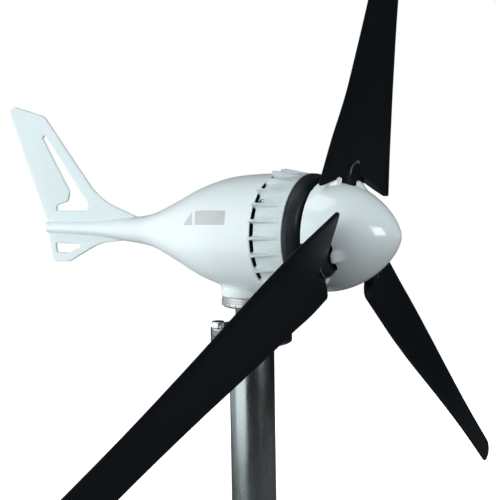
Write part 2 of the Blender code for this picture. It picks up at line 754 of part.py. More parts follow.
def make_tail(nacelle):
    side = Matrix(((0, 0, 1, 0), (1, 0, 0, BOOM_END), (0, 1, 0, 0), (0, 0, 0, 1)))
    half = FIN_THICKNESS / 2
    fin = piece("tail_fin", prism(rounded(FIN_OUTLINE), -half, half, side), "white_paint", nacelle)
    windows = [prism(rounded(corners), -2 * half, 2 * half, side) for corners in (FIN_UPPER_WINDOW, FIN_LOWER_WINDOW)]
    combine(fin, "DIFFERENCE", merged(windows), "windows")
    combine(fin, "DIFFERENCE", merged(tail_screw_tools()), "screw_holes")
    for number, place in enumerate(TAIL_SCREW_PLACES, 1):
        reach = tail_screw_reach(place)
        screw = pan_screw(reach - SCREW_HEAD_HEIGHT, 2 * MM - reach + GAP)
        frame = tail_screw_frame(place)
        piece(f"tail_screw_{number}", screw, "steel", nacelle, frame.to_euler(), frame.to_translation())


# ---------------------------------------------------------------- generator


def housing_screw_frames():
    """Z along each screw, outwards from the rotor's axis."""
    frames = []
    for angle in spread(SMALL_SCREW_COUNT, HOUSING_SCREW_TURN):
        frames.append(turn(-angle) @ shift(0, 0, HOUSING_SCREW_FORWARD) @ turn(-math.pi / 2, "X"))
    return frames


def housing_screw_tools():
    """Through holes, with a pocket for each head."""
    radius = SCREW_RADIUS + HOLE_PLAY
    head = SCREW_HEAD_RADIUS + HOLE_PLAY
    low = SPIGOT_RADIUS - SPIGOT_WALL - MM
    seat = RING_RADIUS - SCREW_HEAD_HEIGHT - GAP
    profile = [(0, low), (radius, low), (radius, seat), (head, seat), (head, RING_RADIUS + 5 * MM)]
    profile.append((0, RING_RADIUS + 5 * MM))
    return [moved(turned(profile, 12), frame) for frame in housing_screw_frames()]


def make_stator_housing(generator):
    front = COVER_REAR - GAP
    flange_rear = front - RING_FLANGE_THICKNESS
    profile = [
        (RING_FLANGE_BORE, front),
        (RING_FRONT_RADIUS, front),
        (RING_FRONT_RADIUS, front - RING_FRONT_RIM),
        (RING_RADIUS + RING_FRONT_STEP / 2, front - 2 * RING_FRONT_RIM),
        (RING_RADIUS, RING_REAR),
        (RING_BORE, RING_REAR),
        (RING_BORE, flange_rear),
        (RING_FLANGE_BORE, flange_rear),
    ]
    ring = piece("stator_housing", turned(profile, 2 * RIB_COUNT), "cast_white", generator)
    rib_front = front - 2 * RING_FRONT_RIM
    rear = RING_REAR - VENT_WIDTH
    side_view = [
        (RIB_ROOT_RADIUS + 3 * MM, rib_front),
        (RING_RADIUS + 1.6 * MM, rib_front),
        (RIB_TIP_RADIUS, RING_REAR + 5 * MM),
        (RIB_TIP_RADIUS, rear),
        (RIB_ROOT_RADIUS, rear),
        (RIB_ROOT_RADIUS, RING_REAR + 2 * MM),
    ]
    half = RIB_WIDTH / 2
    upright = Matrix(((0, 0, 1, 0), (1, 0, 0, 0), (0, 1, 0, 0), (0, 0, 0, 1)))
    ribs = [moved(prism(side_view, -half, half, upright), turn(angle)) for angle in spread(RIB_COUNT)]
    combine(ring, "UNION", merged(ribs), "ribs")
    combine(ring, "DIFFERENCE", merged(housing_screw_tools()), "screw_holes")
    combine(ring, "DIFFERENCE", merged(cover_screw_holes(flange_rear - MM)), "cover_screw_holes")


def make_housing_screws(generator):
    seat = RING_RADIUS - SCREW_HEAD_HEIGHT
    mesh = mesh_from("housing_screw", pan_screw(seat, SPIGOT_RADIUS - SPIGOT_WALL), "steel")
    for number, frame in enumerate(housing_screw_frames(), 1):
        add_object(f"housing_screw_{number}", mesh, generator, frame.to_euler(), frame.to_translation())


def cover_screw_frames():
    return [turn(-angle) @ shift(0, COVER_SCREW_CIRCLE, 0) for angle in spread(SMALL_SCREW_COUNT)]


def cover_screw_holes(low):
    holes = []
    for frame in cover_screw_frames():
        holes.append(moved(rod(SCREW_RADIUS + HOLE_PLAY, low, COVER_FRONT + MM, 12), frame))
    return holes


def make_front_cover(generator):
    rounding = [
        (COVER_RADIUS - COVER_ROUNDING * (1 - math.cos(angle)), COVER_FRONT - COVER_ROUNDING * (1 - math.sin(angle)))
        for angle in (0, math.pi / 6, math.pi / 3, math.pi / 2)
    ]
    bearing_seat = FRONT_BEARING["outer"] + GAP
    hub = bearing_seat + BEARING_PLATE_HUB_WALL
    face_rear = COVER_FRONT - COVER_THICKNESS
    profile = [
        (COVER_RADIUS, COVER_REAR),
        *rounding,
        (bearing_seat, COVER_FRONT),
        (bearing_seat, COVER_REAR),
        (hub, COVER_REAR),
        (hub, face_rear),
        (COVER_SCREW_CIRCLE - COVER_RIM / 2, face_rear),
        (COVER_SCREW_CIRCLE - COVER_RIM / 2, COVER_REAR),
    ]
    cover = piece("front_cover", turned(profile), "graphite_paint", generator)
    combine(cover, "DIFFERENCE", merged(cover_screw_holes(COVER_REAR - MM)), "screw_holes")
    screw = pan_screw(COVER_FRONT + GAP, COVER_REAR - RING_FLANGE_THICKNESS)
    mesh = mesh_from("cover_screw", screw, "steel")
    for number, frame in enumerate(cover_screw_frames(), 1):
        add_object(f"cover_screw_{number}", mesh, generator, frame.to_euler(), frame.to_translation())


def slotted_ring(outer, inner, count, share, low, high):
    """A ring whose outer and inner radii are each (on a tooth, in a slot), with slanting slot walls."""
    pitch = 2 * math.pi / count
    wall = 0.04 * pitch
    edges = []
    for index in range(count):
        middle = index * pitch
        half = share * pitch / 2
        slot = ((middle - half, 1), (middle, 1), (middle + half, 1))
        edges += [*slot, (middle + half + wall, 0), (middle + pitch / 2, 0), (middle + pitch - half - wall, 0)]
    shape = bmesh.new()
    loops = []
    for radii, height in ((outer, low), (outer, high), (inner, high), (inner, low)):
        loops.append([shape.verts.new((radii[s] * math.cos(a), radii[s] * math.sin(a), height)) for a, s in edges])
    for loop, following in zip(loops, loops[1:] + loops[:1]):
        for index in range(len(edges)):
            after = (index + 1) % len(edges)
            shape.faces.new((loop[index], loop[after], following[after], following[index]))
    return outward(shape)


def make_stator(generator):
    core = slotted_ring((CORE_RADIUS, CORE_RADIUS), (CORE_BORE, SLOT_BOTTOM), SLOT_COUNT, SLOT_SHARE, CORE_REAR, CORE_FRONT)
    piece("stator_core", core, "laminated_steel", generator)
    inner = CORE_BORE + MM
    head_front = CORE_FRONT + GAP
    head_rear = CORE_REAR - GAP
    winding = piece(
        "stator_winding",
        tube(WINDING_OUTER, inner, head_front, head_front + WINDING_HEAD),
        "copper",
        generator,
    )
    half = 0.38 * SLOT_SHARE * 2 * math.pi / SLOT_COUNT * CORE_BORE
    bars = [tube(WINDING_OUTER, inner, head_rear - WINDING_HEAD, head_rear)]
    combine(winding, "UNION", bars.pop(), "rear_head")
    for angle in spread(SLOT_COUNT):
        bar = block((inner + MM, -half, head_rear - MM), (SLOT_BOTTOM - MM, half, head_front + MM))
        bars.append(moved(bar, turn(angle)))
    combine(winding, "UNION", merged(bars), "slot_bars")


def make_bearing_plate(generator):
    outer = SPIGOT_RADIUS - SPIGOT_WALL - GAP
    seat = REAR_BEARING["outer"] + GAP
    hub = seat + BEARING_PLATE_HUB_WALL
    rear = BEARING_PLATE_FRONT - BEARING_PLATE_THICKNESS
    profile = [
        (seat, BEARING_PLATE_FRONT),
        (outer, BEARING_PLATE_FRONT),
        (outer, rear),
        (hub, rear),
        (hub, REAR_BEARING_REAR),
        (seat, REAR_BEARING_REAR),
    ]
    piece("rear_bearing_plate", turned(profile), "cast_white", generator)


# ---------------------------------------------------------------- rotor


def make_main_shaft(rotor):
    rear_seat = REAR_BEARING["bore"] - GAP
    front_seat = FRONT_BEARING["bore"] - GAP
    rear_step = REAR_BEARING_FRONT + GAP
    front_step = COVER_REAR - GAP
    profile = [
        (0, REAR_BEARING_REAR - SHAFT_REAR_STUB),
        (rear_seat, REAR_BEARING_REAR - SHAFT_REAR_STUB),
        (rear_seat, rear_step),
        (SHAFT_RADIUS, rear_step),
        (SHAFT_RADIUS, front_step),
        (front_seat, front_step),
        (front_seat, COVER_FRONT + GAP),
        (HUB_SEAT_RADIUS, COVER_FRONT + GAP),
        (HUB_SEAT_RADIUS, SHAFT_FRONT),
        (0, SHAFT_FRONT),
    ]
    piece("main_shaft", turned(profile), "steel", rotor)
    low, high = BOLT_SEAT, BOLT_SEAT + SHAFT_NUT_HEIGHT
    bore = HUB_SEAT_RADIUS + 2 * GAP
    rings = [hexagon_points(SHAFT_NUT_ACROSS, low), hexagon_points(SHAFT_NUT_ACROSS, high)]
    rings += [circle_points(bore, high, 12), circle_points(bore, low, 12)]
    piece("shaft_nut", loft(rings, closed=True), "steel", rotor)


def make_magnets(rotor):
    drum = tube(DRUM_RADIUS, SHAFT_RADIUS + GAP, CORE_REAR, CORE_FRONT)
    piece("magnet_drum", drum, "steel", rotor)
    outer = (MAGNET_RADIUS, MAGNET_RADIUS - POLE_GROOVE)
    inner = (DRUM_RADIUS + 2 * GAP, DRUM_RADIUS + 2 * GAP)
    poles = slotted_ring(outer, inner, POLE_COUNT, 0.12, CORE_REAR, CORE_FRONT)
    piece("magnet_ring", poles, "magnet", rotor)


def blade_bolt_frames():
    frames = []
    for angle in BLADE_ANGLES:
        for circle in BLADE_BOLT_CIRCLES:
            frames.append(turn(-angle) @ shift(ROOT_OFFSET, circle, 0))
    return frames


def blade_bolt_holes(low, high):
    radius = BLADE_BOLT_RADIUS + HOLE_PLAY
    return [moved(rod(radius, low, high, 12), frame) for frame in blade_bolt_frames()]


def post_screw_frames():
    return [turn(-angle) @ shift(0, POST_SCREW_CIRCLE, 0) for angle in POST_ANGLES]


def post_screw_holes(low, high):
    return [moved(rod(SCREW_RADIUS + HOLE_PLAY, low, high, 12), frame) for frame in post_screw_frames()]


def make_hub(rotor):
    bore = HUB_SEAT_RADIUS + GAP
    profile = [
        (bore, COVER_FRONT + 2 * GAP),
        (HUB_BOSS_RADIUS, COVER_FRONT + 2 * GAP),
        (HUB_BOSS_RADIUS, HUB_PLATE_REAR),
        (HUB_PLATE_RADIUS, HUB_PLATE_REAR),
        (HUB_PLATE_RADIUS, HUB_PLATE_FRONT),
        (bore, HUB_PLATE_FRONT),
    ]
    plate = piece("hub_plate", turned(profile), "steel", rotor)
    holes = blade_bolt_holes(HUB_PLATE_REAR - MM, HUB_PLATE_FRONT + MM)
    holes += post_screw_holes(HUB_PLATE_REAR - MM, HUB_PLATE_FRONT + MM)
    combine(plate, "DIFFERENCE", merged(holes), "holes")
    clamp = piece("clamp_plate", tube(CLAMP_PLATE_RADIUS, bore, GAP, CLAMP_PLATE_FRONT), "steel", rotor)
    combine(clamp, "DIFFERENCE", merged(blade_bolt_holes(GAP - MM, CLAMP_PLATE_FRONT + MM)), "holes")
    bolt = hex_bolt(BLADE_BOLT_RADIUS, BLADE_BOLT_ACROSS, BLADE_BOLT_HEAD, BOLT_SEAT, HUB_PLATE_REAR + GAP)
    bolt_mesh = mesh_from("blade_bolt", bolt, "steel")
    for number, frame in enumerate(blade_bolt_frames(), 1):
        add_object(f"blade_bolt_{number}", bolt_mesh, rotor, frame.to_euler(), frame.to_translation())
    screw_mesh = mesh_from("spinner_screw", pan_screw(HUB_PLATE_REAR - GAP, HUB_PLATE_FRONT + 9 * MM), "steel")
    for number, frame in enumerate(post_screw_frames(), 1):
        add_object(f"spinner_screw_{number}", screw_mesh, rotor, frame.to_euler(), frame.to_translation())


def spinner_surface(inset, steps):
    """Points down the spinner's outer curve, moved in by an inset, from the nose to the rear edge."""
    points = []
    for index in range(steps + 1):
        share = math.cos(math.pi / 2 * index / steps)
        forward = SPINNER_REAR + (SPINNER_NOSE - inset - SPINNER_REAR) * share
        scale = (SPINNER_NOSE - SPINNER_REAR) / (SPINNER_NOSE - inset - SPINNER_REAR)
        radius = spinner_radius(SPINNER_REAR + (forward - SPINNER_REAR) * scale) * (1 - inset / SPINNER_RADIUS)
        points.append((radius if index else 0, forward))
    return points


def spinner_cutout():
    """Outline (towards the leading edge, forward) of the opening that a blade root stands in."""
    lead = ROOT_OFFSET + ROOT_WIDTH / 2 + CUTOUT_MARGIN
    trail = ROOT_OFFSET - ROOT_WIDTH / 2 - CUTOUT_MARGIN
    behind = SPINNER_REAR - 5 * MM
    return [
        (lead, behind),
        (lead, CUTOUT_MARGIN / 2),
        (lead - 5 * MM, 3 * MM),
        (trail + 9 * MM, 3.5 * MM),
        (trail, CUTOUT_MARGIN / 2),
        (trail - MM, -ROOT_THICKNESS),
        (trail - 9 * MM, -ROOT_THICKNESS - 8 * MM),
        (trail - 28 * MM, -ROOT_THICKNESS - 17 * MM),
        (trail - 38 * MM, behind),
    ]


def make_spinner(rotor):
    spinner = piece("spinner", turned(spinner_surface(0, 8) + [(0, SPINNER_REAR)]), "white_paint", rotor)
    radial = Matrix(((1, 0, 0, 0), (0, 0, 1, 0), (0, 1, 0, 0), (0, 0, 0, 1)))
    bumps = []
    for angle in BLADE_ANGLES:
        low, high = BUMP_SIDES
        rear = 2 * MM
        outline = [(low, rear), (high, rear), (high - 3 * MM, rear + BUMP_LENGTH), (low + 3 * MM, rear + BUMP_LENGTH)]
        bumps.append(moved(prism(outline, BUMP_RADIUS - 12 * MM, BUMP_RADIUS, radial), turn(-angle)))
    combine(spinner, "UNION", merged(bumps), "bumps")
    inner = spinner_surface(SPINNER_WALL, 7)
    inner_rear = SPINNER_REAR - 5 * MM
    cavity_profile = inner + [(inner[-1][0], inner_rear), (0, inner_rear)]
    cavity = combine(spinner, "DIFFERENCE", turned(cavity_profile), "cavity")
    posts = []
    for angle in POST_ANGLES:
        half = POST_WIDTH / 2
        post = block((-half, POST_INNER, HUB_PLATE_FRONT + GAP), (half, SPINNER_RADIUS + 5 * MM, SPINNER_NOSE))
        posts.append(moved(post, turn(-angle)))
    combine(cavity, "DIFFERENCE", merged(posts), "posts")
    cutouts = [moved(prism(spinner_cutout(), 30 * MM, 90 * MM, radial), turn(-angle)) for angle in BLADE_ANGLES]
    combine(spinner, "DIFFERENCE", merged(cutouts), "cutouts")
    combine(spinner, "DIFFERENCE", merged(post_screw_holes(HUB_PLATE_FRONT - MM, 0)), "screw_holes")


def blade_chord(radius):
    chord = smooth(CHORD_STATIONS, min(radius, ROTOR_RADIUS) / MM) * MM
    past = max(radius - (ROTOR_RADIUS - TIP_ROUNDING), 0) / TIP_ROUNDING
    return chord * max(math.sqrt(max(1 - past * past, 0)), 0.3)


def section_half(samples):
    """Places along the chord from the leading edge, closer together near it."""
    return [1 - math.cos(math.pi / 2 * index / samples) for index in range(samples + 1)]


def blade_root_radius(towards_leading):
    """Inner end of the blade's thin part; the place is -1 at the trailing and 1 at the leading edge."""
    corner = BLADE_LEADING_CORNER if towards_leading > 0 else BLADE_TRAILING_CORNER
    into_corner = max(abs(towards_leading) - 1 + BLADE_CORNER_SHARE, 0) / BLADE_CORNER_SHARE
    rounding = BLADE_CORNER_ROUNDING * (1 - math.sqrt(max(1 - into_corner**2, 0)))
    return BLADE_INNER - (BLADE_INNER - corner) * abs(towards_leading) ** 1.5 + rounding


def blade_point(place, side, share):
    """A point of the skin: place along the chord, side 1 faces the wind and -1 the nacelle, share from the
    root's curved end (0) to the first full section (1), and beyond that to the tip (2)."""
    nominal = smooth(LEADING_SHARE, BLADE_INNER / MM)
    towards = (nominal - place) / (nominal if place < nominal else 1 - nominal)
    if share < 1:
        radius = blade_root_radius(towards) * (1 - share) + BLADE_FIRST_FULL_SECTION * share
    else:
        radius = BLADE_FIRST_FULL_SECTION + (ROTOR_RADIUS - BLADE_FIRST_FULL_SECTION) * (share - 1)
    chord = blade_chord(radius)
    twist = math.radians(smooth(TWIST_STATIONS, radius / MM))
    lead = smooth(LEADING_SHARE, radius / MM)
    curve = 1.4845 * math.sqrt(place) - 0.63 * place - 1.758 * place**2 + 1.4215 * place**3 - 0.518 * place**4
    half_thickness = curve * THICKNESS_SHARE * chord + TRAILING_THICKNESS / 2 * place
    camber = -4 * CAMBER_SHARE * place * (1 - place) * chord
    along = (lead - place) * chord
    across = camber + side * half_thickness
    lean = math.tan(CONE_ANGLE) * (radius - BLADE_INNER)
    x = along * math.cos(twist) - across * math.sin(twist)
    z = along * math.sin(twist) + across * math.cos(twist) + lean
    return (x, radius, z)


def blade_shape():
    places = section_half(8)
    inner_shares = (0, 0.25, 0.6)
    outer_shares = [1 + index / 8 for index in range(8)]
    tip_start = 1 + (ROTOR_RADIUS - TIP_ROUNDING - BLADE_FIRST_FULL_SECTION) / (ROTOR_RADIUS - BLADE_FIRST_FULL_SECTION)
    tip_shares = [tip_start + (2 - tip_start) * step for step in (0, 0.5, 0.8, 1)]
    rings = []
    for share in (*inner_shares, *outer_shares, *tip_shares):
        front = [blade_point(place, 1, share) for place in places]
        back = [blade_point(place, -1, share) for place in reversed(places[1:])]
        rings.append(front + back)
    return loft(rings, strip_caps=True)


def blade_root_outline():
    """The flat root: straight sides and a round outer end, about its own middle line."""
    half = ROOT_WIDTH / 2
    arc = [(half * math.cos(a), ROOT_OUTER + half * math.sin(a)) for a in (math.pi * step / 8 for step in range(9))]
    corners = [(-half, ROOT_INNER + 6 * MM), (6 * MM - half, ROOT_INNER), (half - 6 * MM, ROOT_INNER)]
    corners.append((half, ROOT_INNER + 6 * MM))
    return [(x + ROOT_OFFSET, y) for x, y in arc + corners]


def make_blades(rotor):
    mesh = mesh_from("blade", blade_shape(), "black_plastic")
    for number, angle in enumerate(BLADE_ANGLES, 1):
        blade = add_object(f"blade_{number}", mesh, rotor, (0, 0, -angle))
        combine(blade, "UNION", prism(blade_root_outline(), -ROOT_THICKNESS, 0), "root")
        holes = []
        for circle in BLADE_BOLT_CIRCLES:
            hole = rod(BLADE_BOLT_RADIUS + HOLE_PLAY, -ROOT_THICKNESS - MM, MM, 12)
            holes.append(moved(hole, shift(ROOT_OFFSET, circle, 0)))
        combine(blade, "DIFFERENCE", merged(holes), "bolt_holes")


# ---------------------------------------------------------------- assembly


def main():
    clear_scene()
    head = axis_empty("mast_head", None, (0, 0, HUB_HEIGHT))
    nacelle = axis_empty("yaw_axis", head, (0, 0, 0))
    generator = axis_empty("generator_axis", nacelle, (0, -HUB_OVERHANG, 0), (math.pi / 2, 0, 0))
    rotor = axis_empty("rotor_axis", generator, (0, 0, 0), (0, 0, -ROTOR_PHASE))
    bpy.context.view_layer.update()

    make_mast(head)
    make_yaw_shaft(head)
    make_slip_rings(head)
    make_bearing("lower_yaw_bearing", LOWER_YAW_BEARING, LOWER_BEARING_BOTTOM, head, nacelle)
    make_bearing("upper_yaw_bearing", UPPER_YAW_BEARING, UPPER_BEARING_BOTTOM, head, nacelle)

    make_yaw_collar(nacelle)
    make_brushes(nacelle)
    make_nacelle(nacelle, generator)
    make_tail(nacelle)

    make_stator_housing(generator)
    make_housing_screws(generator)
    make_front_cover(generator)
    make_stator(generator)
    make_bearing_plate(generator)
    make_bearing("front_bearing", FRONT_BEARING, COVER_REAR, rotor, generator)
    make_bearing("rear_bearing", REAR_BEARING, REAR_BEARING_REAR, rotor, generator)

    make_main_shaft(rotor)
    make_magnets(rotor)
    make_hub(rotor)
    make_spinner(rotor)
    make_blades(rotor)


main()
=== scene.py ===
"""The looks of a small horizontal-axis wind turbine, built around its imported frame.

Lengths are in metres. A piece is shaped in the local frame of the axis that it belongs to and then placed by
that frame's matrix, so every finished object stands at the origin. About the rotor's axis, local Z points out
of the nose and is zero in the rotor plane; about the yaw axis, local Z is up and zero at the rotor's axis.
"""

import json
import math

import bmesh
import bpy
from bpy.props import FloatProperty, FloatVectorProperty, IntProperty, PointerProperty
from bpy.types import Operator, Panel, PropertyGroup
from mathutils import Matrix, Vector


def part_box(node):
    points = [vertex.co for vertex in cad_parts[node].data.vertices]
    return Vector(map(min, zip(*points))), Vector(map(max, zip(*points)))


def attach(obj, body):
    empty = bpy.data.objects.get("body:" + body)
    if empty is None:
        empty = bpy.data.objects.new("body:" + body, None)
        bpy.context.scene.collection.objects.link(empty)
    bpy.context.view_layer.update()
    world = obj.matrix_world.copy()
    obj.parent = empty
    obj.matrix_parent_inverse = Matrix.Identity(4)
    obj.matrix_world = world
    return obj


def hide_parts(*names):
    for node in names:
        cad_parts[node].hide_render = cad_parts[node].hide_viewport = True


bl_info = {
    "name": "Wind turbine looks",
    "version": (1, 0, 0),
    "blender": (4, 5, 0),
    "location": "3D View > Sidebar > Turbine",
    "description": "Builds the finished pieces of a small wind turbine around its frame",
    "category": "Object",
}

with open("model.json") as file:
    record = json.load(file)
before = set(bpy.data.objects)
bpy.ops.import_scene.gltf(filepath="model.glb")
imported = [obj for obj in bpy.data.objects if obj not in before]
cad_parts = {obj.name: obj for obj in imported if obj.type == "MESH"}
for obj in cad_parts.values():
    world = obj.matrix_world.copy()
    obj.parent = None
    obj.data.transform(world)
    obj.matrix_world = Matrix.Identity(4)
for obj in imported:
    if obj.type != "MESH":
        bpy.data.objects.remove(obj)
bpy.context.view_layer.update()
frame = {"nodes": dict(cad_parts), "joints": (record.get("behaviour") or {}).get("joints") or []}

MM = 0.001
GAP = 0.3 * MM

JOINTS = {joint["name"]: joint for joint in frame["joints"]}
YAW_POINT = Vector(JOINTS["yaw_swivel"]["pos_m"])
HUB = Vector(JOINTS["rotor_spin"]["pos_m"])
ROTOR_PHASE = math.radians(12)  # first blade from upright, towards +X
HEAD = Matrix.Translation(YAW_POINT)
NOSE = Matrix.Translation(HUB) @ Matrix.Rotation(math.pi / 2, 4, "X")
ROTOR = NOSE @ Matrix.Rotation(-ROTOR_PHASE, 4, "Z")


def across(node):
    """Half the width of a CAD node."""
    low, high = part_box(node)
    return (high.x - low.x) / 2


def height_span(node):
    """Lowest and highest level of a CAD node, from the rotor's axis."""
    low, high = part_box(node)
    return low.z - YAW_POINT.z, high.z - YAW_POINT.z


def forward_span(node):
    """Rear and front of a CAD node, ahead of the rotor plane."""
    low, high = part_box(node)
    return HUB.y - high.y, HUB.y - low.y


def middle_of(node):
    low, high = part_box(node)
    return (low + high) / 2


def numbered(stem, count):
    """The CAD nodes stem_1, stem_2 and so on."""
    return [f"{stem}_{number}" for number in range(1, count + 1)]


# ---------------------------------------------------------------- sizes and colours


class TurbineSizes(PropertyGroup):
    """Sizes of the finished pieces."""

    rotor_radius: FloatProperty(
        name="Rotor radius", description="From the rotor's axis to a blade's tip", default=0.6, unit="LENGTH"
    )
    blade_samples: IntProperty(
        name="Blade sections", description="Sections along the outer part of a blade", default=44, min=8
    )
    tip_rounding: FloatProperty(
        name="Tip rounding", description="Length over which the tip is rounded", default=0.018, unit="LENGTH"
    )
    edge_radius: FloatProperty(
        name="Casting edge", description="Rounding of the edges of castings", default=0.0012, unit="LENGTH"
    )
    neck_fillet: FloatProperty(
        name="Neck fillet", description="Sweep of the neck into the nacelle", default=0.0055, unit="LENGTH"
    )
    rib_count: IntProperty(name="Ribs", description="Cooling ribs round the generator", default=24, min=3)
    rib_crest: FloatProperty(
        name="Rib crest", description="Width of a rib along its top", default=0.0022, unit="LENGTH"
    )
    rib_foot: FloatProperty(
        name="Rib foot",
        description="Width of a rib where it runs into the ring",
        default=0.0095,
        unit="LENGTH",
    )
    fin_edge: FloatProperty(
        name="Fin edge", description="Rounding of the tail fin's edges", default=0.0014, unit="LENGTH"
    )
    spinner_wall: FloatProperty(
        name="Spinner wall", description="Wall of the nose cover", default=0.0025, unit="LENGTH"
    )
    lip_width: FloatProperty(
        name="Lip width",
        description="Width of the lip beside each blade opening",
        default=0.0022,
        unit="LENGTH",
    )
    lip_height: FloatProperty(
        name="Lip height",
        description="Height of the lip beside each blade opening",
        default=0.0078,
        unit="LENGTH",
    )
    sticker_lift: FloatProperty(
        name="Sticker lift",
        description="How far the stickers stand off the paint",
        default=0.0002,
        unit="LENGTH",
    )


class TurbineColours(PropertyGroup):
    """Colours of the finished pieces."""

    paint: FloatVectorProperty(
        name="Paint", description="Nacelle and tail fin", subtype="COLOR", default=(0.70, 0.80, 0.82)
    )
    nose: FloatVectorProperty(
        name="Nose cover", description="Spinner", subtype="COLOR", default=(0.72, 0.83, 0.86)
    )
    casting: FloatVectorProperty(
        name="Casting", description="Finned generator ring", subtype="COLOR", default=(0.57, 0.67, 0.69)
    )
    cover: FloatVectorProperty(
        name="Cover",
        description="Ring ahead of the generator",
        subtype="COLOR",
        default=(0.014, 0.019, 0.022),
    )
    blade: FloatVectorProperty(
        name="Blade", description="Moulded blades", subtype="COLOR", default=(0.0030, 0.0048, 0.0068)
    )
    steel: FloatVectorProperty(
        name="Steel", description="Mast, flanges and shaft", subtype="COLOR", default=(0.49, 0.58, 0.59)
    )
    sticker: FloatVectorProperty(
        name="Sticker", description="Bare sticker film", subtype="COLOR", default=(0.50, 0.53, 0.55)
    )


# ---------------------------------------------------------------- node trees


class Socket:
    """A socket of a node tree. Arithmetic on it adds Math nodes."""

    def __init__(self, tree, socket):
        self.tree = tree
        self.socket = socket

    def output(self, name):
        """Another output of the same node."""
        return Socket(self.tree, self.socket.node.outputs[name])

    def math(self, operation, *others):
        return self.tree.add("ShaderNodeMath", {"operation": operation}, (self, *others))

    def __add__(self, other):
        return self.math("ADD", other)

    def __sub__(self, other):
        return self.math("SUBTRACT", other)

    def __rsub__(self, other):
        return self.tree.add("ShaderNodeMath", {"operation": "SUBTRACT"}, (other, self))

    def __mul__(self, other):
        return self.math("MULTIPLY", other)

    def __truediv__(self, other):
        return self.math("DIVIDE", other)

    def __rtruediv__(self, other):
        return self.tree.add("ShaderNodeMath", {"operation": "DIVIDE"}, (other, self))

    def __pow__(self, other):
        return self.math("POWER", other)


class Tree:
    """Adds nodes to a shader tree or a geometry tree."""

    def __init__(self, tree):
        self.tree = tree

    def add(self, kind, settings=None, values=(), output=0):
        """A node with its settings made first, then the values or links of its sockets."""
        node = self.tree.nodes.new(kind)
        for name, setting in (settings or {}).items():
            if name == "stops":
                ramp = node.color_ramp
                while len(ramp.elements) < len(setting):
                    ramp.elements.new(0.5)
                for element, (position, colour) in zip(ramp.elements, setting):
                    element.position = position
                    element.color = colour
            else:
                setattr(node, name, setting)
        for key, value in values.items() if isinstance(values, dict) else enumerate(values):
            if isinstance(value, Socket):
                self.tree.links.new(value.socket, node.inputs[key])
            elif value is not None:
                node.inputs[key].default_value = value
        return Socket(self, node.outputs[output])


class Finish(Tree):
    """A procedural material: patterns on the object's coordinates that feed one Principled shader."""

    def __init__(self, name, **constants):
        self.material = bpy.data.materials.new(name)
        self.material.use_nodes = True
        super().__init__(self.material.node_tree)
        self.shader = self.material.node_tree.nodes["Principled BSDF"]
        for key, value in constants.items():
            self.shader.inputs[key.replace("_", " ").title().replace("Ior", "IOR")].default_value = value
        self.place = self.add("ShaderNodeTexCoord", output="Object")

    def feed(self, **links):
        """Links the varying inputs of the shader."""
        for key, value in links.items():
            self.tree.links.new(value.socket, self.shader.inputs[key.replace("_", " ").title()])
        return self.material

    def noise(self, scale, detail=3.0, roughness=0.55, stretch=(1, 1, 1), place=None):
        """Noise from 0 to 1 with this many cells to the metre, stretched by the inverse of each factor."""
        scaled = self.add("ShaderNodeMapping", values={"Vector": place or self.place, "Scale": stretch})
        return self.add(
            "ShaderNodeTexNoise",
            values={"Vector": scaled, "Scale": scale, "Detail": detail, "Roughness": roughness},
        )

    def spread(self, value, low, high):
        """The value's middle half spread from low to high."""
        return self.add(
            "ShaderNodeMapRange",
            values={"Value": value, "From Min": 0.3, "From Max": 0.7, "To Min": low, "To Max": high},
        )

    def mix(self, factor, first, second):
        """A colour between two colours."""
        values = {0: factor, 6: first if isinstance(first, Socket) else (*first, 1), 7: second}
        if not isinstance(second, Socket):
            values[7] = (*second, 1)
        return self.add("ShaderNodeMix", {"data_type": "RGBA", "clamp_factor": True}, values, output=2)

    def shades(self, colour, low, high, value):
        """The colour, from low to high times its strength, as the value goes up."""
        return self.mix(value, [c * low for c in colour], [c * high for c in colour])

    def bump(self, height, distance, strength=1.0, normal=None):
        return self.add(
            "ShaderNodeBump",
            values={"Strength": strength, "Distance": distance, "Height": height, "Normal": normal},
        )

    def grained(self, colour, tone, gloss, relief):
        """Feeds the shader from (low, high, value) of the colour's strength, (low, high, value) of the
        roughness and (distance, strength, height) of the bump."""
        return self.feed(
            base_color=self.shades(colour, *tone[:2], self.spread(tone[2], 0.0, 1.0)),
            roughness=self.spread(gloss[2], *gloss[:2]),
            normal=self.bump(relief[2], *relief[:2]),
        )

    def turned_marks(self, axis, scale):
        """Fine rings of noise about an axis: each point takes its noise from its radius and its height."""
        centred = self.add("ShaderNodeVectorMath", {"operation": "SUBTRACT"}, (self.place, tuple(axis[0])))
        xyz = self.add("ShaderNodeSeparateXYZ", values=(centred,))
        pair = [xyz.output(name) for name in "XYZ" if name != axis[1]]
        radius = (pair[0] * pair[0] + pair[1] * pair[1]).math("SQRT")
        place = self.add("ShaderNodeCombineXYZ", values=(radius, xyz.output(axis[1]), 0.0))
        return self.noise(scale, 2.0, 0.6, place=place)


def paint_finish(name, colour, roughness=0.34, coat=0.15, coat_roughness=0.25):
    """Sprayed paint over a casting: a faint orange peel, uneven gloss and a breath of dust."""
    finish = Finish(name, Coat_Roughness=coat_roughness, Coat_Weight=coat, Specular_IOR_Level=0.4)
    cloud = finish.noise(14, 4)
    peel = finish.noise(520, 2, 0.45)
    dust = finish.noise(90, 5, 0.65)
    clean = finish.shades(colour, 0.985, 1.0, cloud)
    tone = finish.mix(finish.spread(dust, 0.0, 0.06), clean, [c * 0.93 for c in colour])
    gloss = finish.spread(dust, roughness - 0.01, roughness + 0.02)
    return finish.feed(base_color=tone, roughness=gloss, normal=finish.bump(peel, 0.00001, 0.2))


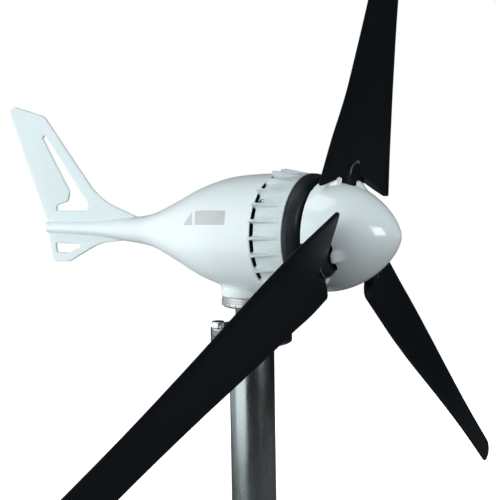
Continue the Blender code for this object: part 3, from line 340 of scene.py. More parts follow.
def casting_finish(name, colour):
    """Pale die casting: fine grain, drag marks along the axis of the mould and slightly darker hollows."""
    finish = Finish(name, Specular_IOR_Level=0.35, Coat_Weight=0.08, Coat_Roughness=0.3)
    grain = finish.noise(1400, 4, 0.6)
    drag = finish.noise(260, 4, 0.6, stretch=(1, 0.06, 1))
    patch = finish.noise(38, 4, 0.6)
    relief = (0.00022, 0.5, grain * 0.35 + drag * 0.65)
    return finish.grained(colour, (0.88, 1.06, drag * 0.55 + patch * 0.45), (0.36, 0.5, patch), relief)


def moulded_finish(name, colour, roughness, place=None, grain=900, specular=0.3):
    """Satin moulding: a leathery grain with long flow lines and scuffs that dull it."""
    finish = Finish(name, Specular_IOR_Level=specular)
    if place:
        finish.place = finish.add("ShaderNodeUVMap", {"uv_map": place})
    skin = finish.noise(grain, 3, 0.6)
    flow = finish.noise(130, 4, 0.6, stretch=(1, 0.05, 1))
    scuff = finish.noise(26, 6, 0.7)
    gloss = (roughness - 0.06, roughness + 0.08, flow * 0.6 + scuff * 0.4)
    relief = (0.0001, 0.4, skin * 0.6 + flow * 0.4)
    return finish.grained(colour, (0.8, 1.35, flow * 0.5 + scuff * 0.5), gloss, relief)


def drawn_steel_finish(name, colour, roughness):
    """Drawn tube: fine lines along its length with handling marks and a faint mottle."""
    finish = Finish(name, Metallic=1.0)
    lines = finish.noise(900, 3, 0.6, stretch=(1, 1, 0.012))
    mottle = finish.noise(45, 5, 0.6, stretch=(1, 1, 0.35))
    gloss = (roughness - 0.07, roughness + 0.09, lines * 0.45 + mottle * 0.55)
    return finish.grained(colour, (0.86, 1.08, lines * 0.5 + mottle * 0.5), gloss, (0.00005, 0.45, lines))


def turned_metal_finish(name, colour, roughness, axis, scale=1500):
    """Metal from the lathe: tool marks run round its axis."""
    finish = Finish(name, Metallic=1.0)
    marks = finish.turned_marks(axis, scale)
    mottle = finish.noise(60, 4, 0.6)
    gloss = (roughness - 0.06, roughness + 0.1, mottle * 0.5 + marks * 0.5)
    return finish.grained(colour, (0.84, 1.08, marks * 0.6 + mottle * 0.4), gloss, (0.00008, 0.5, marks))


def plated_finish(name, colour):
    """Zinc plate on fasteners: a cloudy spangle and small handling nicks."""
    finish = Finish(name, Metallic=1.0)
    cells = finish.add("ShaderNodeTexVoronoi", values={"Vector": finish.place, "Scale": 260.0})
    nicks = finish.noise(1100, 4, 0.7)
    tone = finish.shades(colour, 0.84, 1.06, cells * 1.4)
    gloss = finish.spread(nicks, 0.17, 0.34)
    return finish.feed(base_color=tone, roughness=gloss, normal=finish.bump(nicks, 0.00006, 0.4))


def inner_finish(name, colour, roughness, metallic, scale, axis=None):
    """A hidden piece: a plain machined, pressed or wound surface with its own grain."""
    finish = Finish(name, Metallic=metallic)
    grain = finish.turned_marks(axis, scale) if axis else finish.noise(scale, 4, 0.6)
    gloss = (roughness - 0.06, roughness + 0.1, grain)
    return finish.grained(colour, (0.75, 1.15, grain), gloss, (0.0001, 0.5, grain))


def sticker_finish(name, colour):
    """Printed film with nothing on it: matt, with the paint's unevenness showing through."""
    finish = Finish(name, Specular_IOR_Level=0.3)
    fibre = finish.noise(700, 3, 0.5)
    fade = finish.noise(60, 3, 0.5)
    return finish.grained(colour, (0.94, 1.04, fade), (0.4, 0.5, fade), (0.00003, 0.4, fibre))


FINISHES = {}
# Painted shade: the fin takes the nacelle's paint darkened by these factors, for the less light that falls on
# it.
FIN_PAINTED_SHADE = (0.84, 0.875, 0.885)  # the fin's paint against the nacelle's


def make_finishes(colours):
    """Every material of the turbine, by the name that the pieces ask for."""
    yaw = (YAW_POINT, "Z")
    nose = (HUB, "Y")
    steel = colours.steel
    FINISHES.update(
        paint=paint_finish("nacelle_paint", colours.paint),
        # The fin's paint is the nacelle's with painted shade.
        fin_paint=paint_finish("fin_paint", [c * k for c, k in zip(colours.paint, FIN_PAINTED_SHADE)]),
        nose_paint=paint_finish("spinner_paint", colours.nose, 0.13, 0.35, 0.05),
        casting=casting_finish("cast_ring", colours.casting),
        cover=moulded_finish("cover_coating", colours.cover, 0.42, grain=1300),
        # Painted shade: a near-black finish for the faces behind the vent slots and for the collar's pin
        # holes, where shade falls.
        vent=moulded_finish("vent_shadow", [0.004, 0.005, 0.006], 0.6, specular=0.1),
        # Painted highlight: a lighter grey for the front edge of each blade root's round end.
        rim=moulded_finish("blade_rim", [0.075, 0.085, 0.09], 0.4),
        blade=moulded_finish("blade_moulding", colours.blade, 0.4, place="span", specular=0.24),
        mast=drawn_steel_finish("mast_steel", steel, 0.26),
        flange=turned_metal_finish("flange_steel", [c * 0.95 for c in steel], 0.24, yaw, 900),
        shaft=turned_metal_finish("shaft_steel", [c * 0.5 for c in steel], 0.3, yaw),
        collar=turned_metal_finish("collar_aluminium", [0.84, 0.88, 0.90], 0.42, yaw, 1800),
        zinc=plated_finish("zinc_plate", [0.74, 0.77, 0.78]),
        hub_steel=turned_metal_finish("hub_steel", [c * 0.7 for c in steel], 0.34, nose, 900),
        race=turned_metal_finish("bearing_steel", [0.62, 0.63, 0.64], 0.16, yaw, 2200),
        copper=inner_finish("copper_wire", [0.72, 0.32, 0.14], 0.3, 1.0, 1500, nose),
        ring_copper=inner_finish("ring_copper", [0.76, 0.40, 0.20], 0.22, 1.0, 1800, yaw),
        laminations=inner_finish("laminations", [0.17, 0.18, 0.19], 0.45, 0.9, 2600, nose),
        magnet=inner_finish("magnet_plate", [0.55, 0.55, 0.54], 0.25, 1.0, 700),
        carbon=inner_finish("brush_carbon", [0.025, 0.025, 0.026], 0.6, 0.1, 1800),
        insulator=inner_finish("insulator", [0.30, 0.13, 0.045], 0.45, 0.0, 600),
        inner_casting=casting_finish("inner_casting", [0.60, 0.64, 0.65]),
        sticker=sticker_finish("sticker_film", colours.sticker),
    )


# ---------------------------------------------------------------- shapes

SHARP_ANGLE = math.radians(32)  # a mesh looks creased where it folds more than this


def smooth(stations, place):
    """A smooth curve through (place, value) stations, straight on past its ends."""
    last = len(stations) - 1
    slopes = []
    for index in range(last + 1):
        before = stations[max(index - 1, 0)]
        after = stations[min(index + 1, last)]
        slopes.append((after[1] - before[1]) / (after[0] - before[0]))
    if place <= stations[0][0]:
        return stations[0][1] + slopes[0] * (place - stations[0][0])
    if place >= stations[last][0]:
        return stations[last][1] + slopes[last] * (place - stations[last][0])
    index = max(i for i in range(last) if stations[i][0] <= place)
    (x0, y0), (x1, y1) = stations[index], stations[index + 1]
    span = x1 - x0
    s = (place - x0) / span
    rise = (1 + 2 * s) * (1 - s) ** 2 * y0 + s * s * (3 - 2 * s) * y1
    return rise + s * (1 - s) ** 2 * span * slopes[index] - s * s * (1 - s) * span * slopes[index + 1]


def rounded(corners, steps=6):
    """A closed outline from (x, y, fillet radius) corners."""
    outline = []
    for index, (x, y, radius) in enumerate(corners):
        here = Vector((x, y))
        before = Vector(corners[index - 1][:2]) - here
        after = Vector(corners[(index + 1) % len(corners)][:2]) - here
        if radius <= 0:
            outline.append((x, y))
            continue
        half = before.angle(after) / 2
        reach = min(radius / math.tan(half), 0.49 * before.length, 0.49 * after.length)
        first = here + before.normalized() * reach
        last = here + after.normalized() * reach
        middle = here + (before.normalized() + after.normalized()).normalized() * reach / math.cos(half)
        sweep = (first - middle).angle_signed(last - middle)
        spoke = first - middle
        square = Vector((-spoke.y, spoke.x))
        for step in range(steps + 1):
            turn = -sweep * step / steps
            outline.append(tuple(middle + spoke * math.cos(turn) + square * math.sin(turn)))
    return outline


def outward(shape):
    bmesh.ops.recalc_face_normals(shape, faces=shape.faces)
    return shape


def revolve(profile, sides=160):
    """A shape turned about Z from a closed loop of (radius, height) points."""
    shape = bmesh.new()
    rings = []
    for radius, height in profile:
        if radius < 1e-7:
            rings.append([shape.verts.new((0, 0, height))] * sides)
            continue
        angles = [2 * math.pi * side / sides for side in range(sides)]
        rings.append([shape.verts.new((radius * math.cos(a), radius * math.sin(a), height)) for a in angles])
    for ring, following in zip(rings, rings[1:] + rings[:1]):
        for side in range(sides):
            after = (side + 1) % sides
            corners = dict.fromkeys((ring[side], ring[after], following[after], following[side]))
            if len(corners) > 2:
                shape.faces.new(list(corners))
    return outward(shape)


def rod(radius, low, high, sides):
    return revolve([(0, low), (radius, low), (radius, high), (0, high)], sides)


def loft(rings, strips=False):
    """A shape through rings of equally many points. An end is closed by one face, or with strips, for an odd
    ring that starts on its edge, by strips from one side of the ring to the other."""
    shape = bmesh.new()
    verts = [[shape.verts.new(point) for point in ring] for ring in rings]
    count = len(rings[0])
    for ring, following in zip(verts, verts[1:]):
        for index in range(count):
            after = (index + 1) % count
            shape.faces.new((ring[index], ring[after], following[after], following[index]))
    for ring in (verts[0], verts[-1]):
        if not strips:
            shape.faces.new(ring)
            continue
        for index in range(count // 2):
            corners = dict.fromkeys((ring[index], ring[index + 1], ring[-index - 1], ring[-index]))
            shape.faces.new(list(corners))
    return outward(shape)


def prism(outline, low, high):
    return loft([[(x, y, low) for x, y in outline], [(x, y, high) for x, y in outline]])


def box_shape(low, high):
    outline = [(low[0], low[1]), (high[0], low[1]), (high[0], high[1]), (low[0], high[1])]
    return prism(outline, low[2], high[2])


def added(name, data):
    """A new object in the scene."""
    item = bpy.data.objects.new(name, data)
    bpy.context.scene.collection.objects.link(item)
    return item


def made(name, shape, matrix=None, finish=None):
    """An object from a bmesh, with its place in its mesh."""
    if matrix:
        shape.transform(matrix)
        if matrix.determinant() < 0:
            bmesh.ops.reverse_faces(shape, faces=shape.faces)
    mesh = bpy.data.meshes.new(name)
    shape.to_mesh(mesh)
    shape.free()
    mesh.shade_smooth()
    mesh.set_sharp_from_angle(angle=SHARP_ANGLE)
    if finish:
        mesh.materials.append(FINISHES[finish])
    return added(name, mesh)


def turned(name, corners, sides, matrix, finish, steps=4):
    """A piece turned about Z from (radius, height, fillet radius) corners."""
    return made(name, revolve(rounded(corners, steps), sides), matrix, finish)


def baked(item):
    """Applies the object's modifiers, so that one plain mesh is left."""
    evaluated = item.evaluated_get(bpy.context.evaluated_depsgraph_get())
    mesh = bpy.data.meshes.new_from_object(evaluated)
    item.modifiers.clear()
    old = item.data
    item.data = mesh
    if old.users == 0:
        bpy.data.meshes.remove(old)
    mesh.shade_smooth()
    mesh.set_sharp_from_angle(angle=SHARP_ANGLE)
    return item


def combined(item, operation, tools):
    """The item with the tools cut from it or joined to it. The tools are used up."""
    for tool in tools:
        if not tool.data.materials:
            for finish in item.data.materials:
                tool.data.materials.append(finish)
        modifier = item.modifiers.new(tool.name, "BOOLEAN")
        modifier.operation = operation
        modifier.solver = "EXACT"
        modifier.object = tool
    baked(item)
    for tool in tools:
        mesh = tool.data
        bpy.data.objects.remove(tool)
        bpy.data.meshes.remove(mesh)
    return item


def bevelled(item, width, segments=3):
    modifier = item.modifiers.new("edges", "BEVEL")
    modifier.width = width
    modifier.segments = segments
    modifier.limit_method = "ANGLE"
    modifier.angle_limit = math.radians(35)
    return baked(item)


def joined(name, items):
    """One object from several."""
    whole = bmesh.new()
    finishes = []
    for item in items:
        finishes += [m for m in item.data.materials if m not in finishes]
    for item in items:
        start = len(whole.faces)
        whole.from_mesh(item.data)
        whole.faces.ensure_lookup_table()
        for face in whole.faces[start:]:
            if item.data.materials:
                face.material_index = finishes.index(item.data.materials[face.material_index])
    first = items[0]
    first.data.materials.clear()
    whole.to_mesh(first.data)
    whole.free()
    for finish in finishes:
        first.data.materials.append(finish)
    first.name = name
    first.data.name = name
    for item in items[1:]:
        bpy.data.objects.remove(item)
    return first


def repaint_faces(item, finish, inverse, chosen):
    """Gives another finish to the faces whose centre, in this local frame, is chosen."""
    item.data.materials.append(FINISHES[finish])
    for face in item.data.polygons:
        if chosen(inverse @ face.center):
            face.material_index = 1


def finished(item, body, slot, *nodes):
    """Hangs a piece on its body and hides the CAD nodes that it stands for."""
    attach(item, body)
    if nodes:
        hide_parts(*nodes)
    return item


def spread(count):
    return [2 * math.pi * index / count for index in range(count)]


BOLT_SIDES = 48


def circle_ring(radius, height):
    return [(radius * math.cos(a), radius * math.sin(a), height) for a in spread(BOLT_SIDES)]


def hexagon_ring(flat_to_flat, level):
    """A hexagon about Z with a point for each one of a circle's ring; its level is a rule of the radius."""
    ring = []
    for angle in spread(BOLT_SIDES):
        radius = flat_to_flat / 2 / math.cos((angle + math.pi / 6) % (math.pi / 3) - math.pi / 6)
        ring.append((radius * math.cos(angle), radius * math.sin(angle), level(radius)))
    return ring


def hex_bolt_shape(shank, flat_to_flat, head, length):
    """A hexagon bolt on Z: the seat at zero, a washer face, and the head's corners chamfered to a circle."""
    inner = flat_to_flat / 2 * 0.95
    washer = 0.05 * head
    stem = ((shank * 0.8, -length), (shank, 0.2 * shank - length), (shank, 0), (inner, 0), (inner, washer))
    rings = [circle_ring(*station) for station in stem]
    rings.append(hexagon_ring(flat_to_flat, lambda radius: washer))
    rings.append(hexagon_ring(flat_to_flat, lambda radius: head - (radius - inner) * math.tan(math.pi / 6)))
    rings += [circle_ring(inner, head), circle_ring(inner * 0.92, 0.98 * head)]
    return loft(rings)


SCREW_SHANK = 1.9 * MM
SCREW_HEAD = 3.5 * MM
SCREW_HEAD_HEIGHT = 2.2 * MM


def button_screw_shape(length):
    """A button-head screw on Z with a hexagon socket: the seat at zero."""
    stem = ((SCREW_SHANK * 0.8, -length), (SCREW_SHANK, 0.25 * SCREW_SHANK - length), (SCREW_SHANK, 0))
    rings = [circle_ring(*station) for station in stem]
    for width, height in ((1, 0), (1, 0.25), (0.93, 0.6), (0.78, 0.9), (0.66, 1)):
        rings.append(circle_ring(SCREW_HEAD * width, SCREW_HEAD_HEIGHT * height))
    for height in (1, 0.4):
        rings.append(hexagon_ring(SCREW_HEAD, lambda radius: SCREW_HEAD_HEIGHT * height))
    return loft(rings)


def screws(name, places):
    """Button-head screws as one piece, from (CAD node, matrix, length of the shank)."""
    items = [made(f"{node}_shape", button_screw_shape(shank), place, "zinc") for node, place, shank in places]
    return finished(joined(name, items), "nacelle", "steel", *[node for node, _, _ in places])


# ---------------------------------------------------------------- geometry nodes


def node_group(name, inputs):
    """A geometry tree with these named inputs, and its input node."""
    group = bpy.data.node_groups.new(name, "GeometryNodeTree")
    for label, kind in inputs.items():
        group.interface.new_socket(label, in_out="INPUT", socket_type="NodeSocket" + kind)
    group.interface.new_socket("Geometry", in_out="OUTPUT", socket_type="NodeSocketGeometry")
    tree = Tree(group)
    start = tree.add("NodeGroupInput")
    return group, tree, start


def end_group(tree, geometry, material):
    """Ends a tree in real geometry with its material."""
    real = tree.add("GeometryNodeRealizeInstances", values=(geometry,))
    painted = tree.add("GeometryNodeSetMaterial", values={"Geometry": real, "Material": material})
    end = tree.tree.nodes.new("NodeGroupOutput")
    tree.tree.links.new(painted.socket, end.inputs[0])


def grown(name, group, values, matrix):
    """The plain mesh that a geometry tree makes with these inputs, placed by the matrix."""
    item = added(name, bpy.data.meshes.new(name))
    modifier = item.modifiers.new(name, "NODES")
    modifier.node_group = group
    for socket in group.interface.items_tree:
        if socket.in_out == "INPUT":
            modifier[socket.identifier] = values[socket.name]
    item.update_tag()
    baked(item)
    item.data.transform(matrix)
    return item


def circle_of_copies():
    """A geometry tree that sets copies of one object on a circle about Z, each turned to face outwards."""
    group, tree, start = node_group(
        "circle_of_copies",
        {
            "Shape": "Object",
            "Count": "Int",
            "Radius": "Float",
            "First angle": "Float",
            "Height": "Float",
            "Material": "Material",
        },
    )
    count = start.output("Count")
    angle = tree.add("GeometryNodeInputIndex") / count * (2 * math.pi) + start.output("First angle")
    radius = start.output("Radius")
    place = tree.add(
        "ShaderNodeCombineXYZ",
        values=(angle.math("COSINE") * radius, angle.math("SINE") * radius, start.output("Height")),
    )
    points = tree.add("GeometryNodePoints", values={"Count": count, "Position": place})
    shape = tree.add("GeometryNodeObjectInfo", values={"Object": start.output("Shape")}, output="Geometry")
    facing = tree.add("ShaderNodeCombineXYZ", values=(0.0, 0.0, angle))
    copies = tree.add(
        "GeometryNodeInstanceOnPoints", values={"Points": points, "Instance": shape, "Rotation": facing}
    )
    end_group(tree, copies, start.output("Material"))
    return group


def copies(name, shape, count, radius, first, height, finish, matrix):
    """A plain mesh of copies round a circle; the shape is used up."""
    template = made(name + "_shape", shape)
    group = bpy.data.node_groups.get("circle_of_copies") or circle_of_copies()
    values = {"Shape": template, "Count": count, "Radius": radius, "First angle": first, "Height": height}
    values["Material"] = FINISHES[finish]
    item = grown(name, group, values, matrix)
    bpy.data.objects.remove(template)
    return item


# ---------------------------------------------------------------- nacelle and tail

BODY_FRONT = -101.5 * MM  # the casting's front edge, from the rotor plane
# (behind the casting's front edge, radius) in millimetres
BODY_STATIONS = (
    (0, 77.3), (27.5, 77), (70.6, 73.5), (113.6, 62), (156.7, 44.2), (210.5, 24), (264.4, 16.9), (329, 10.6),
    (431.5, 8.6)
)
BODY_WALL = 4 * MM
SPIGOT_LENGTH = 14.5 * MM
SPIGOT_RADIUS = 67.7 * MM
SPIGOT_WALL = 4.2 * MM
SHOULDER = 6 * MM  # from the casting's front edge back to its cavity
CAVITY_END = 185 * MM
BOOM_LENGTH = BODY_STATIONS[-1][0] * MM
BOOM_END = HUB.y - BODY_FRONT + BOOM_LENGTH
BOOM_SLOT = 190 * MM
BOOM_ROUNDING = 3 * MM
VENT_DEPTH = 0.4 * MM
VENT_EDGE = 2.2 * MM
NECK_TOP = -36.5 * MM
NECK_TOP_RADIUS = 34 * MM
NECK_SHOULDER = -58 * MM
NECK_CHAMFER = 1.2 * MM
NECK_BREAK = 0.35 * MM
NECK_BORE = 24 * MM


def body_radius(behind):
    return smooth(BODY_STATIONS, behind / MM) * MM


def nacelle_body(sizes):
    """The hollow casting and its boom, turned about the rotor's axis."""
    edge = sizes.edge_radius
    front = body_radius(0)
    profile = [(front - edge, BODY_FRONT), (front - 0.3 * edge, BODY_FRONT - 0.3 * edge)]
    profile.append((front, BODY_FRONT - edge))
    for index in range(1, 120):
        behind = BOOM_LENGTH * index / 120
        profile.append((body_radius(behind), BODY_FRONT - behind))
    tip = body_radius(BOOM_LENGTH) - BOOM_ROUNDING
    end = BODY_FRONT - BOOM_LENGTH
    for turn in (0, 0.4, 0.8, 1.2, 1.57):
        profile.append((tip + BOOM_ROUNDING * math.cos(turn), end + BOOM_ROUNDING * (1 - math.sin(turn))))
    profile += [(0, end), (0, BODY_FRONT - CAVITY_END)]
    for index in range(25):
        behind = SHOULDER + (CAVITY_END - SHOULDER) * (1 - index / 24)
        profile.append((body_radius(behind) - BODY_WALL, BODY_FRONT - behind))
    bore = SPIGOT_RADIUS - SPIGOT_WALL
    profile += [(bore, BODY_FRONT - SHOULDER), (bore, BODY_FRONT + SPIGOT_LENGTH)]
    profile += [(SPIGOT_RADIUS, BODY_FRONT + SPIGOT_LENGTH), (SPIGOT_RADIUS, BODY_FRONT)]
    return made("nacelle", revolve(profile, 176), NOSE, "paint")


def neck_outside(sizes):
    """The neck about the yaw axis, swept out into the body's underside."""
    low, _ = height_span("nacelle_housing")
    radius = across("yaw_collar")
    fillet = sizes.neck_fillet
    columns = []
    for angle in spread(160):
        cos, sin = math.cos(angle), math.sin(angle)

        def under(reach):
            return -math.sqrt(body_radius(reach * sin - HUB.y + BODY_FRONT) ** 2 - (reach * cos) ** 2)

        corner = under(radius)
        end = under(radius + fillet)
        stations = [(radius - NECK_CHAMFER, low), (radius - NECK_BREAK, low + NECK_BREAK)]
        stations.append((radius, low + NECK_CHAMFER))
        for step in range(9):
            t = step / 8
            level = (1 - t) ** 2 * (corner - fillet) + 2 * t * (1 - t) * corner + t * t * (end - 0.05 * MM)
            stations.append((radius + fillet * t * t, level))
        stations.append((radius + fillet, end + 2 * MM))
        stations += [(NECK_TOP_RADIUS, NECK_SHOULDER), (NECK_TOP_RADIUS, NECK_TOP)]
        columns.append([(reach * cos, reach * sin, level) for reach, level in stations])
    return made("neck", loft(list(zip(*columns))), HEAD)


def neck_bore():
    """Both bearing seats and the bore between them."""
    lower = across("lower_yaw_bearing_outer_race") + GAP
    upper = across("upper_yaw_bearing_outer_race") + GAP
    bottom = height_span("nacelle_housing")[0] - MM
    top = NECK_TOP + MM
    lower_top = height_span("lower_yaw_bearing_outer_race")[1] + GAP
    upper_bottom = height_span("upper_yaw_bearing_outer_race")[0] - GAP
    profile = [(0, bottom), (lower, bottom), (lower, lower_top), (NECK_BORE, lower_top)]
    profile += [(NECK_BORE, upper_bottom), (upper, upper_bottom), (upper, top), (0, top)]
    return made("neck_bore", revolve(profile, 96), HEAD)


def fin_slot():
    half = across("tail_fin") + GAP
    shape = box_shape((-half, BOOM_END - BOOM_SLOT, -0.06), (half, BOOM_END + 0.01, 0.06))
    return made("fin_slot", shape, HEAD)


def in_vent_painted_shade(centre):
    """On the casting's front face or its spigot, behind the vent slots: faces that take the near-black
    painted shade of the gap.
    """
    return centre.z > BODY_FRONT - VENT_DEPTH and math.hypot(centre.x, centre.y) < body_radius(0) - VENT_EDGE


def tail_screw_matrix(node, sunk):
    """Z outwards along a screw of the fin, with zero this far inside its end."""
    middle = middle_of(node)
    place = (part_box(node)[1].x - sunk, middle.y, middle.z)
    return Matrix.Translation(place) @ Matrix.Rotation(math.pi / 2, 4, "Y")


def tail_screw_pockets():
    """Pockets for the fin's screw heads on the far side of the boom."""
    tools = []
    for node in numbered("tail_screw", 2):
        low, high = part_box(node)
        shape = rod((high.z - low.z) / 2 + GAP, -2 * MM, 12 * MM, 32)
        tools.append(made(f"{node}_pocket", shape, tail_screw_matrix(node, 0.2 * MM)))
    return tools


class TURBINE_OT_nacelle(Operator):
    """Builds the nacelle casting with its boom and neck"""

    bl_idname = "turbine.nacelle"
    bl_label = "Nacelle"

    def execute(self, context):
        sizes = context.scene.turbine_sizes
        body = nacelle_body(sizes)
        combined(body, "DIFFERENCE", [*tail_screw_pockets(), fin_slot()])
        combined(body, "UNION", [neck_outside(sizes)])
        combined(body, "DIFFERENCE", [neck_bore()])
        # Painted shade: the faces behind the vent slots take the near-black finish that stands for the dark
        # gap.
        repaint_faces(body, "vent", NOSE.inverted(), in_vent_painted_shade)
        finished(body, "nacelle", "white_paint", "nacelle_housing")
        return {"FINISHED"}


# Outlines in millimetres: (behind the boom's end, above the rotor's axis, fillet radius)
FIN_OUTLINE = (
    (-188.5, 18.5, 0), (-114, 44, 120), (-2, 173, 28), (82, 196, 10), (-1, 10, 0), (-9.5, -53, 9),
    (-46, -52.5, 22), (-112, -21.5, 110), (-188.5, -13.5, 0)
)
FIN_UPPER_WINDOW = (
    (-4, 144, 3), (4, 140, 3), (-52, 56, 9), (-48, 41, 6), (-23, 35, 5), (-22, 25.5, 2), (-89, 26.5, 3),
    (-91, 38, 8)
)
FIN_LOWER_WINDOW = ((-18, -24.5, 2), (-20, -38.5, 2), (-45, -39, 6), (-80, -24.5, 2))


def side_frame():
    """Outlines of (behind the boom's end, up) stood on the nacelle's middle plane."""
    return Matrix(((0, 0, 1, 0), (1, 0, 0, BOOM_END), (0, 1, 0, YAW_POINT.z), (0, 0, 0, 1)))


def in_metres(corners):
    return [(x * MM, y * MM, radius * MM) for x, y, radius in corners]


class TURBINE_OT_tail_fin(Operator):
    """Builds the tail fin and its screws"""

    bl_idname = "turbine.tail_fin"
    bl_label = "Tail fin"

    def execute(self, context):
        sizes = context.scene.turbine_sizes
        half = across("tail_fin")
        fin = made("fin", prism(rounded(in_metres(FIN_OUTLINE), 14), -half, half), side_frame(), "fin_paint")
        windows = []
        for index, corners in enumerate((FIN_UPPER_WINDOW, FIN_LOWER_WINDOW)):
            shape = prism(rounded(in_metres(corners), 10), -3 * half, 3 * half)
            windows.append(made(f"window_{index}", shape, side_frame()))
        combined(fin, "DIFFERENCE", windows)
        bevelled(fin, sizes.fin_edge)
        finished(fin, "nacelle", "white_paint", "tail_fin")
        places = []
        for node in numbered("tail_screw", 2):
            low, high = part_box(node)
            matrix = tail_screw_matrix(node, SCREW_HEAD_HEIGHT)
            places.append((node, matrix, high.x - low.x - SCREW_HEAD_HEIGHT))
        screws("fin_screws", places)
        return {"FINISHED"}


# Corners of the stickers: millimetres behind the casting's front edge, degrees round from the top
STICKER_PANELS = {
    "sticker_panel": ((39.0, -65.1), (92.0, -63.2), (87.0, -78.6), (37.0, -78.6)),
    "sticker_triangle": ((98.0, -63.6), (98.6, -64.0), (111.5, -78.2), (92.5, -78.6)),
}


def sticker_grid(corners, lift, steps=14):
    """Rows of points on the nacelle between four corners, lifted off its skin."""
    corners = [Vector(corner) for corner in corners]
    rows = []
    for row in range(steps + 1):
        left = corners[0].lerp(corners[3], row / steps)
        right = corners[1].lerp(corners[2], row / steps)
        points = []
        for column in range(steps + 1):
            behind, angle = left.lerp(right, column / steps)
            radius = body_radius(behind * MM) + lift
            turn = math.radians(angle)
            points.append((radius * math.sin(turn), radius * math.cos(turn), BODY_FRONT - behind * MM))
        rows.append(points)
    return rows


def film_shape(top, bottom):
    """A thin closed film between two grids of points."""
    shape = bmesh.new()
    grids = [[[shape.verts.new(point) for point in row] for row in rows] for rows in (top, bottom)]
    last = len(top) - 1
    for grid in grids:
        for upper, lower in zip(grid, grid[1:]):
            for column in range(last):
                shape.faces.new((upper[column], upper[column + 1], lower[column + 1], lower[column]))
    border = [(0, c) for c in range(last)] + [(r, last) for r in range(last)]
    border += [(last, c) for c in range(last, 0, -1)] + [(r, 0) for r in range(last, 0, -1)]
    for (r0, c0), (r1, c1) in zip(border, border[1:] + border[:1]):
        shape.faces.new((grids[0][r0][c0], grids[0][r1][c1], grids[1][r1][c1], grids[1][r0][c0]))
    return outward(shape)


class TURBINE_OT_stickers(Operator):
    """Lays the two bare stickers on the nacelle's side"""

    bl_idname = "turbine.stickers"
    bl_label = "Stickers"

    def execute(self, context):
        sizes = context.scene.turbine_sizes
        for name, corners in STICKER_PANELS.items():
            sheets = [sticker_grid(corners, share * sizes.sticker_lift) for share in (1, 0.3)]
            finished(made(name, film_shape(*sheets), NOSE, "sticker"), "nacelle", "white_paint")
        return {"FINISHED"}


# ---------------------------------------------------------------- generator

RING_RADIUS = 76 * MM
RING_FRONT_RADIUS = 76.8 * MM
RING_BORE = 68 * MM
RING_FLANGE_BORE = 57 * MM
RING_FLANGE = 4 * MM  # thickness of the ring's front flange
RIB_TIP = 83 * MM
RIB_START = 4.5 * MM  # from the ring's front edge back to the ribs
BRIDGE_INNER = 70 * MM
BRIDGE_WIDTH = 3.2 * MM
BRIDGE_LENGTH = 7 * MM
VENT_GAP = 4.2 * MM
RING_SCREW_LENGTH = 8 * MM
COVER_BORE = 56 * MM
COVER_WEB = 6 * MM
COVER_HUB_WALL = 5 * MM
RING_SCREWS = numbered("housing_screw", 3)


def ring_skin(level, front, rear):
    """The ring's outer radius, which falls evenly from its front edge to its rear edge."""
    return RING_FRONT_RADIUS + (RING_RADIUS - RING_FRONT_RADIUS) * (front - level) / (front - rear)


def rib_shape(sizes, front, rear, ring_front):
    """One rib along Z, its height along X: a narrow crest on flanks that sweep out to its foot."""
    rings = []
    half_crest = sizes.rib_crest / 2
    for index in range(15):
        t = index / 14
        level = front + (rear - front) * t
        skin = ring_skin(level, ring_front, rear)
        crest = skin + 0.1 * MM + (RIB_TIP - skin - 0.1 * MM) * min(t * 1.12, 1.0)
        base = skin - 0.9 * MM
        half_foot = half_crest + (sizes.rib_foot / 2 - half_crest) * (0.2 + 0.8 * t * t)
        side = []
        for share in (0.0, 0.12, 0.3, 0.55, 0.8, 0.93):
            reach = half_crest + (half_foot - half_crest) * (1 - share) ** 3
            side.append((base + (crest - base) * share, reach))
        side += [(crest - 0.1 * MM, half_crest * 0.8), (crest, half_crest * 0.4)]
        rings.append([(x, -y, level) for x, y in side] + [(x, y, level) for x, y in reversed(side)])
    return loft(rings)


def bridge_shape(rear):
    """The rear end of a rib, which crosses the vent gap to the nacelle."""
    low = (BRIDGE_INNER, -BRIDGE_WIDTH / 2, rear)
    return box_shape(low, (RIB_TIP - 0.4 * MM, BRIDGE_WIDTH / 2, rear + BRIDGE_LENGTH))


def ring_screw_matrix(node):
    """Z outwards along a radial screw of the ring, with zero on its seat."""
    middle = middle_of(node)
    spoke = Vector((middle.x - HUB.x, 0, middle.z - HUB.z)).normalized()
    seat = Vector((HUB.x, middle.y, HUB.z)) + spoke * (RING_RADIUS - SCREW_HEAD_HEIGHT)
    return Matrix.Translation(seat) @ spoke.to_track_quat("Z", "X").to_matrix().to_4x4()


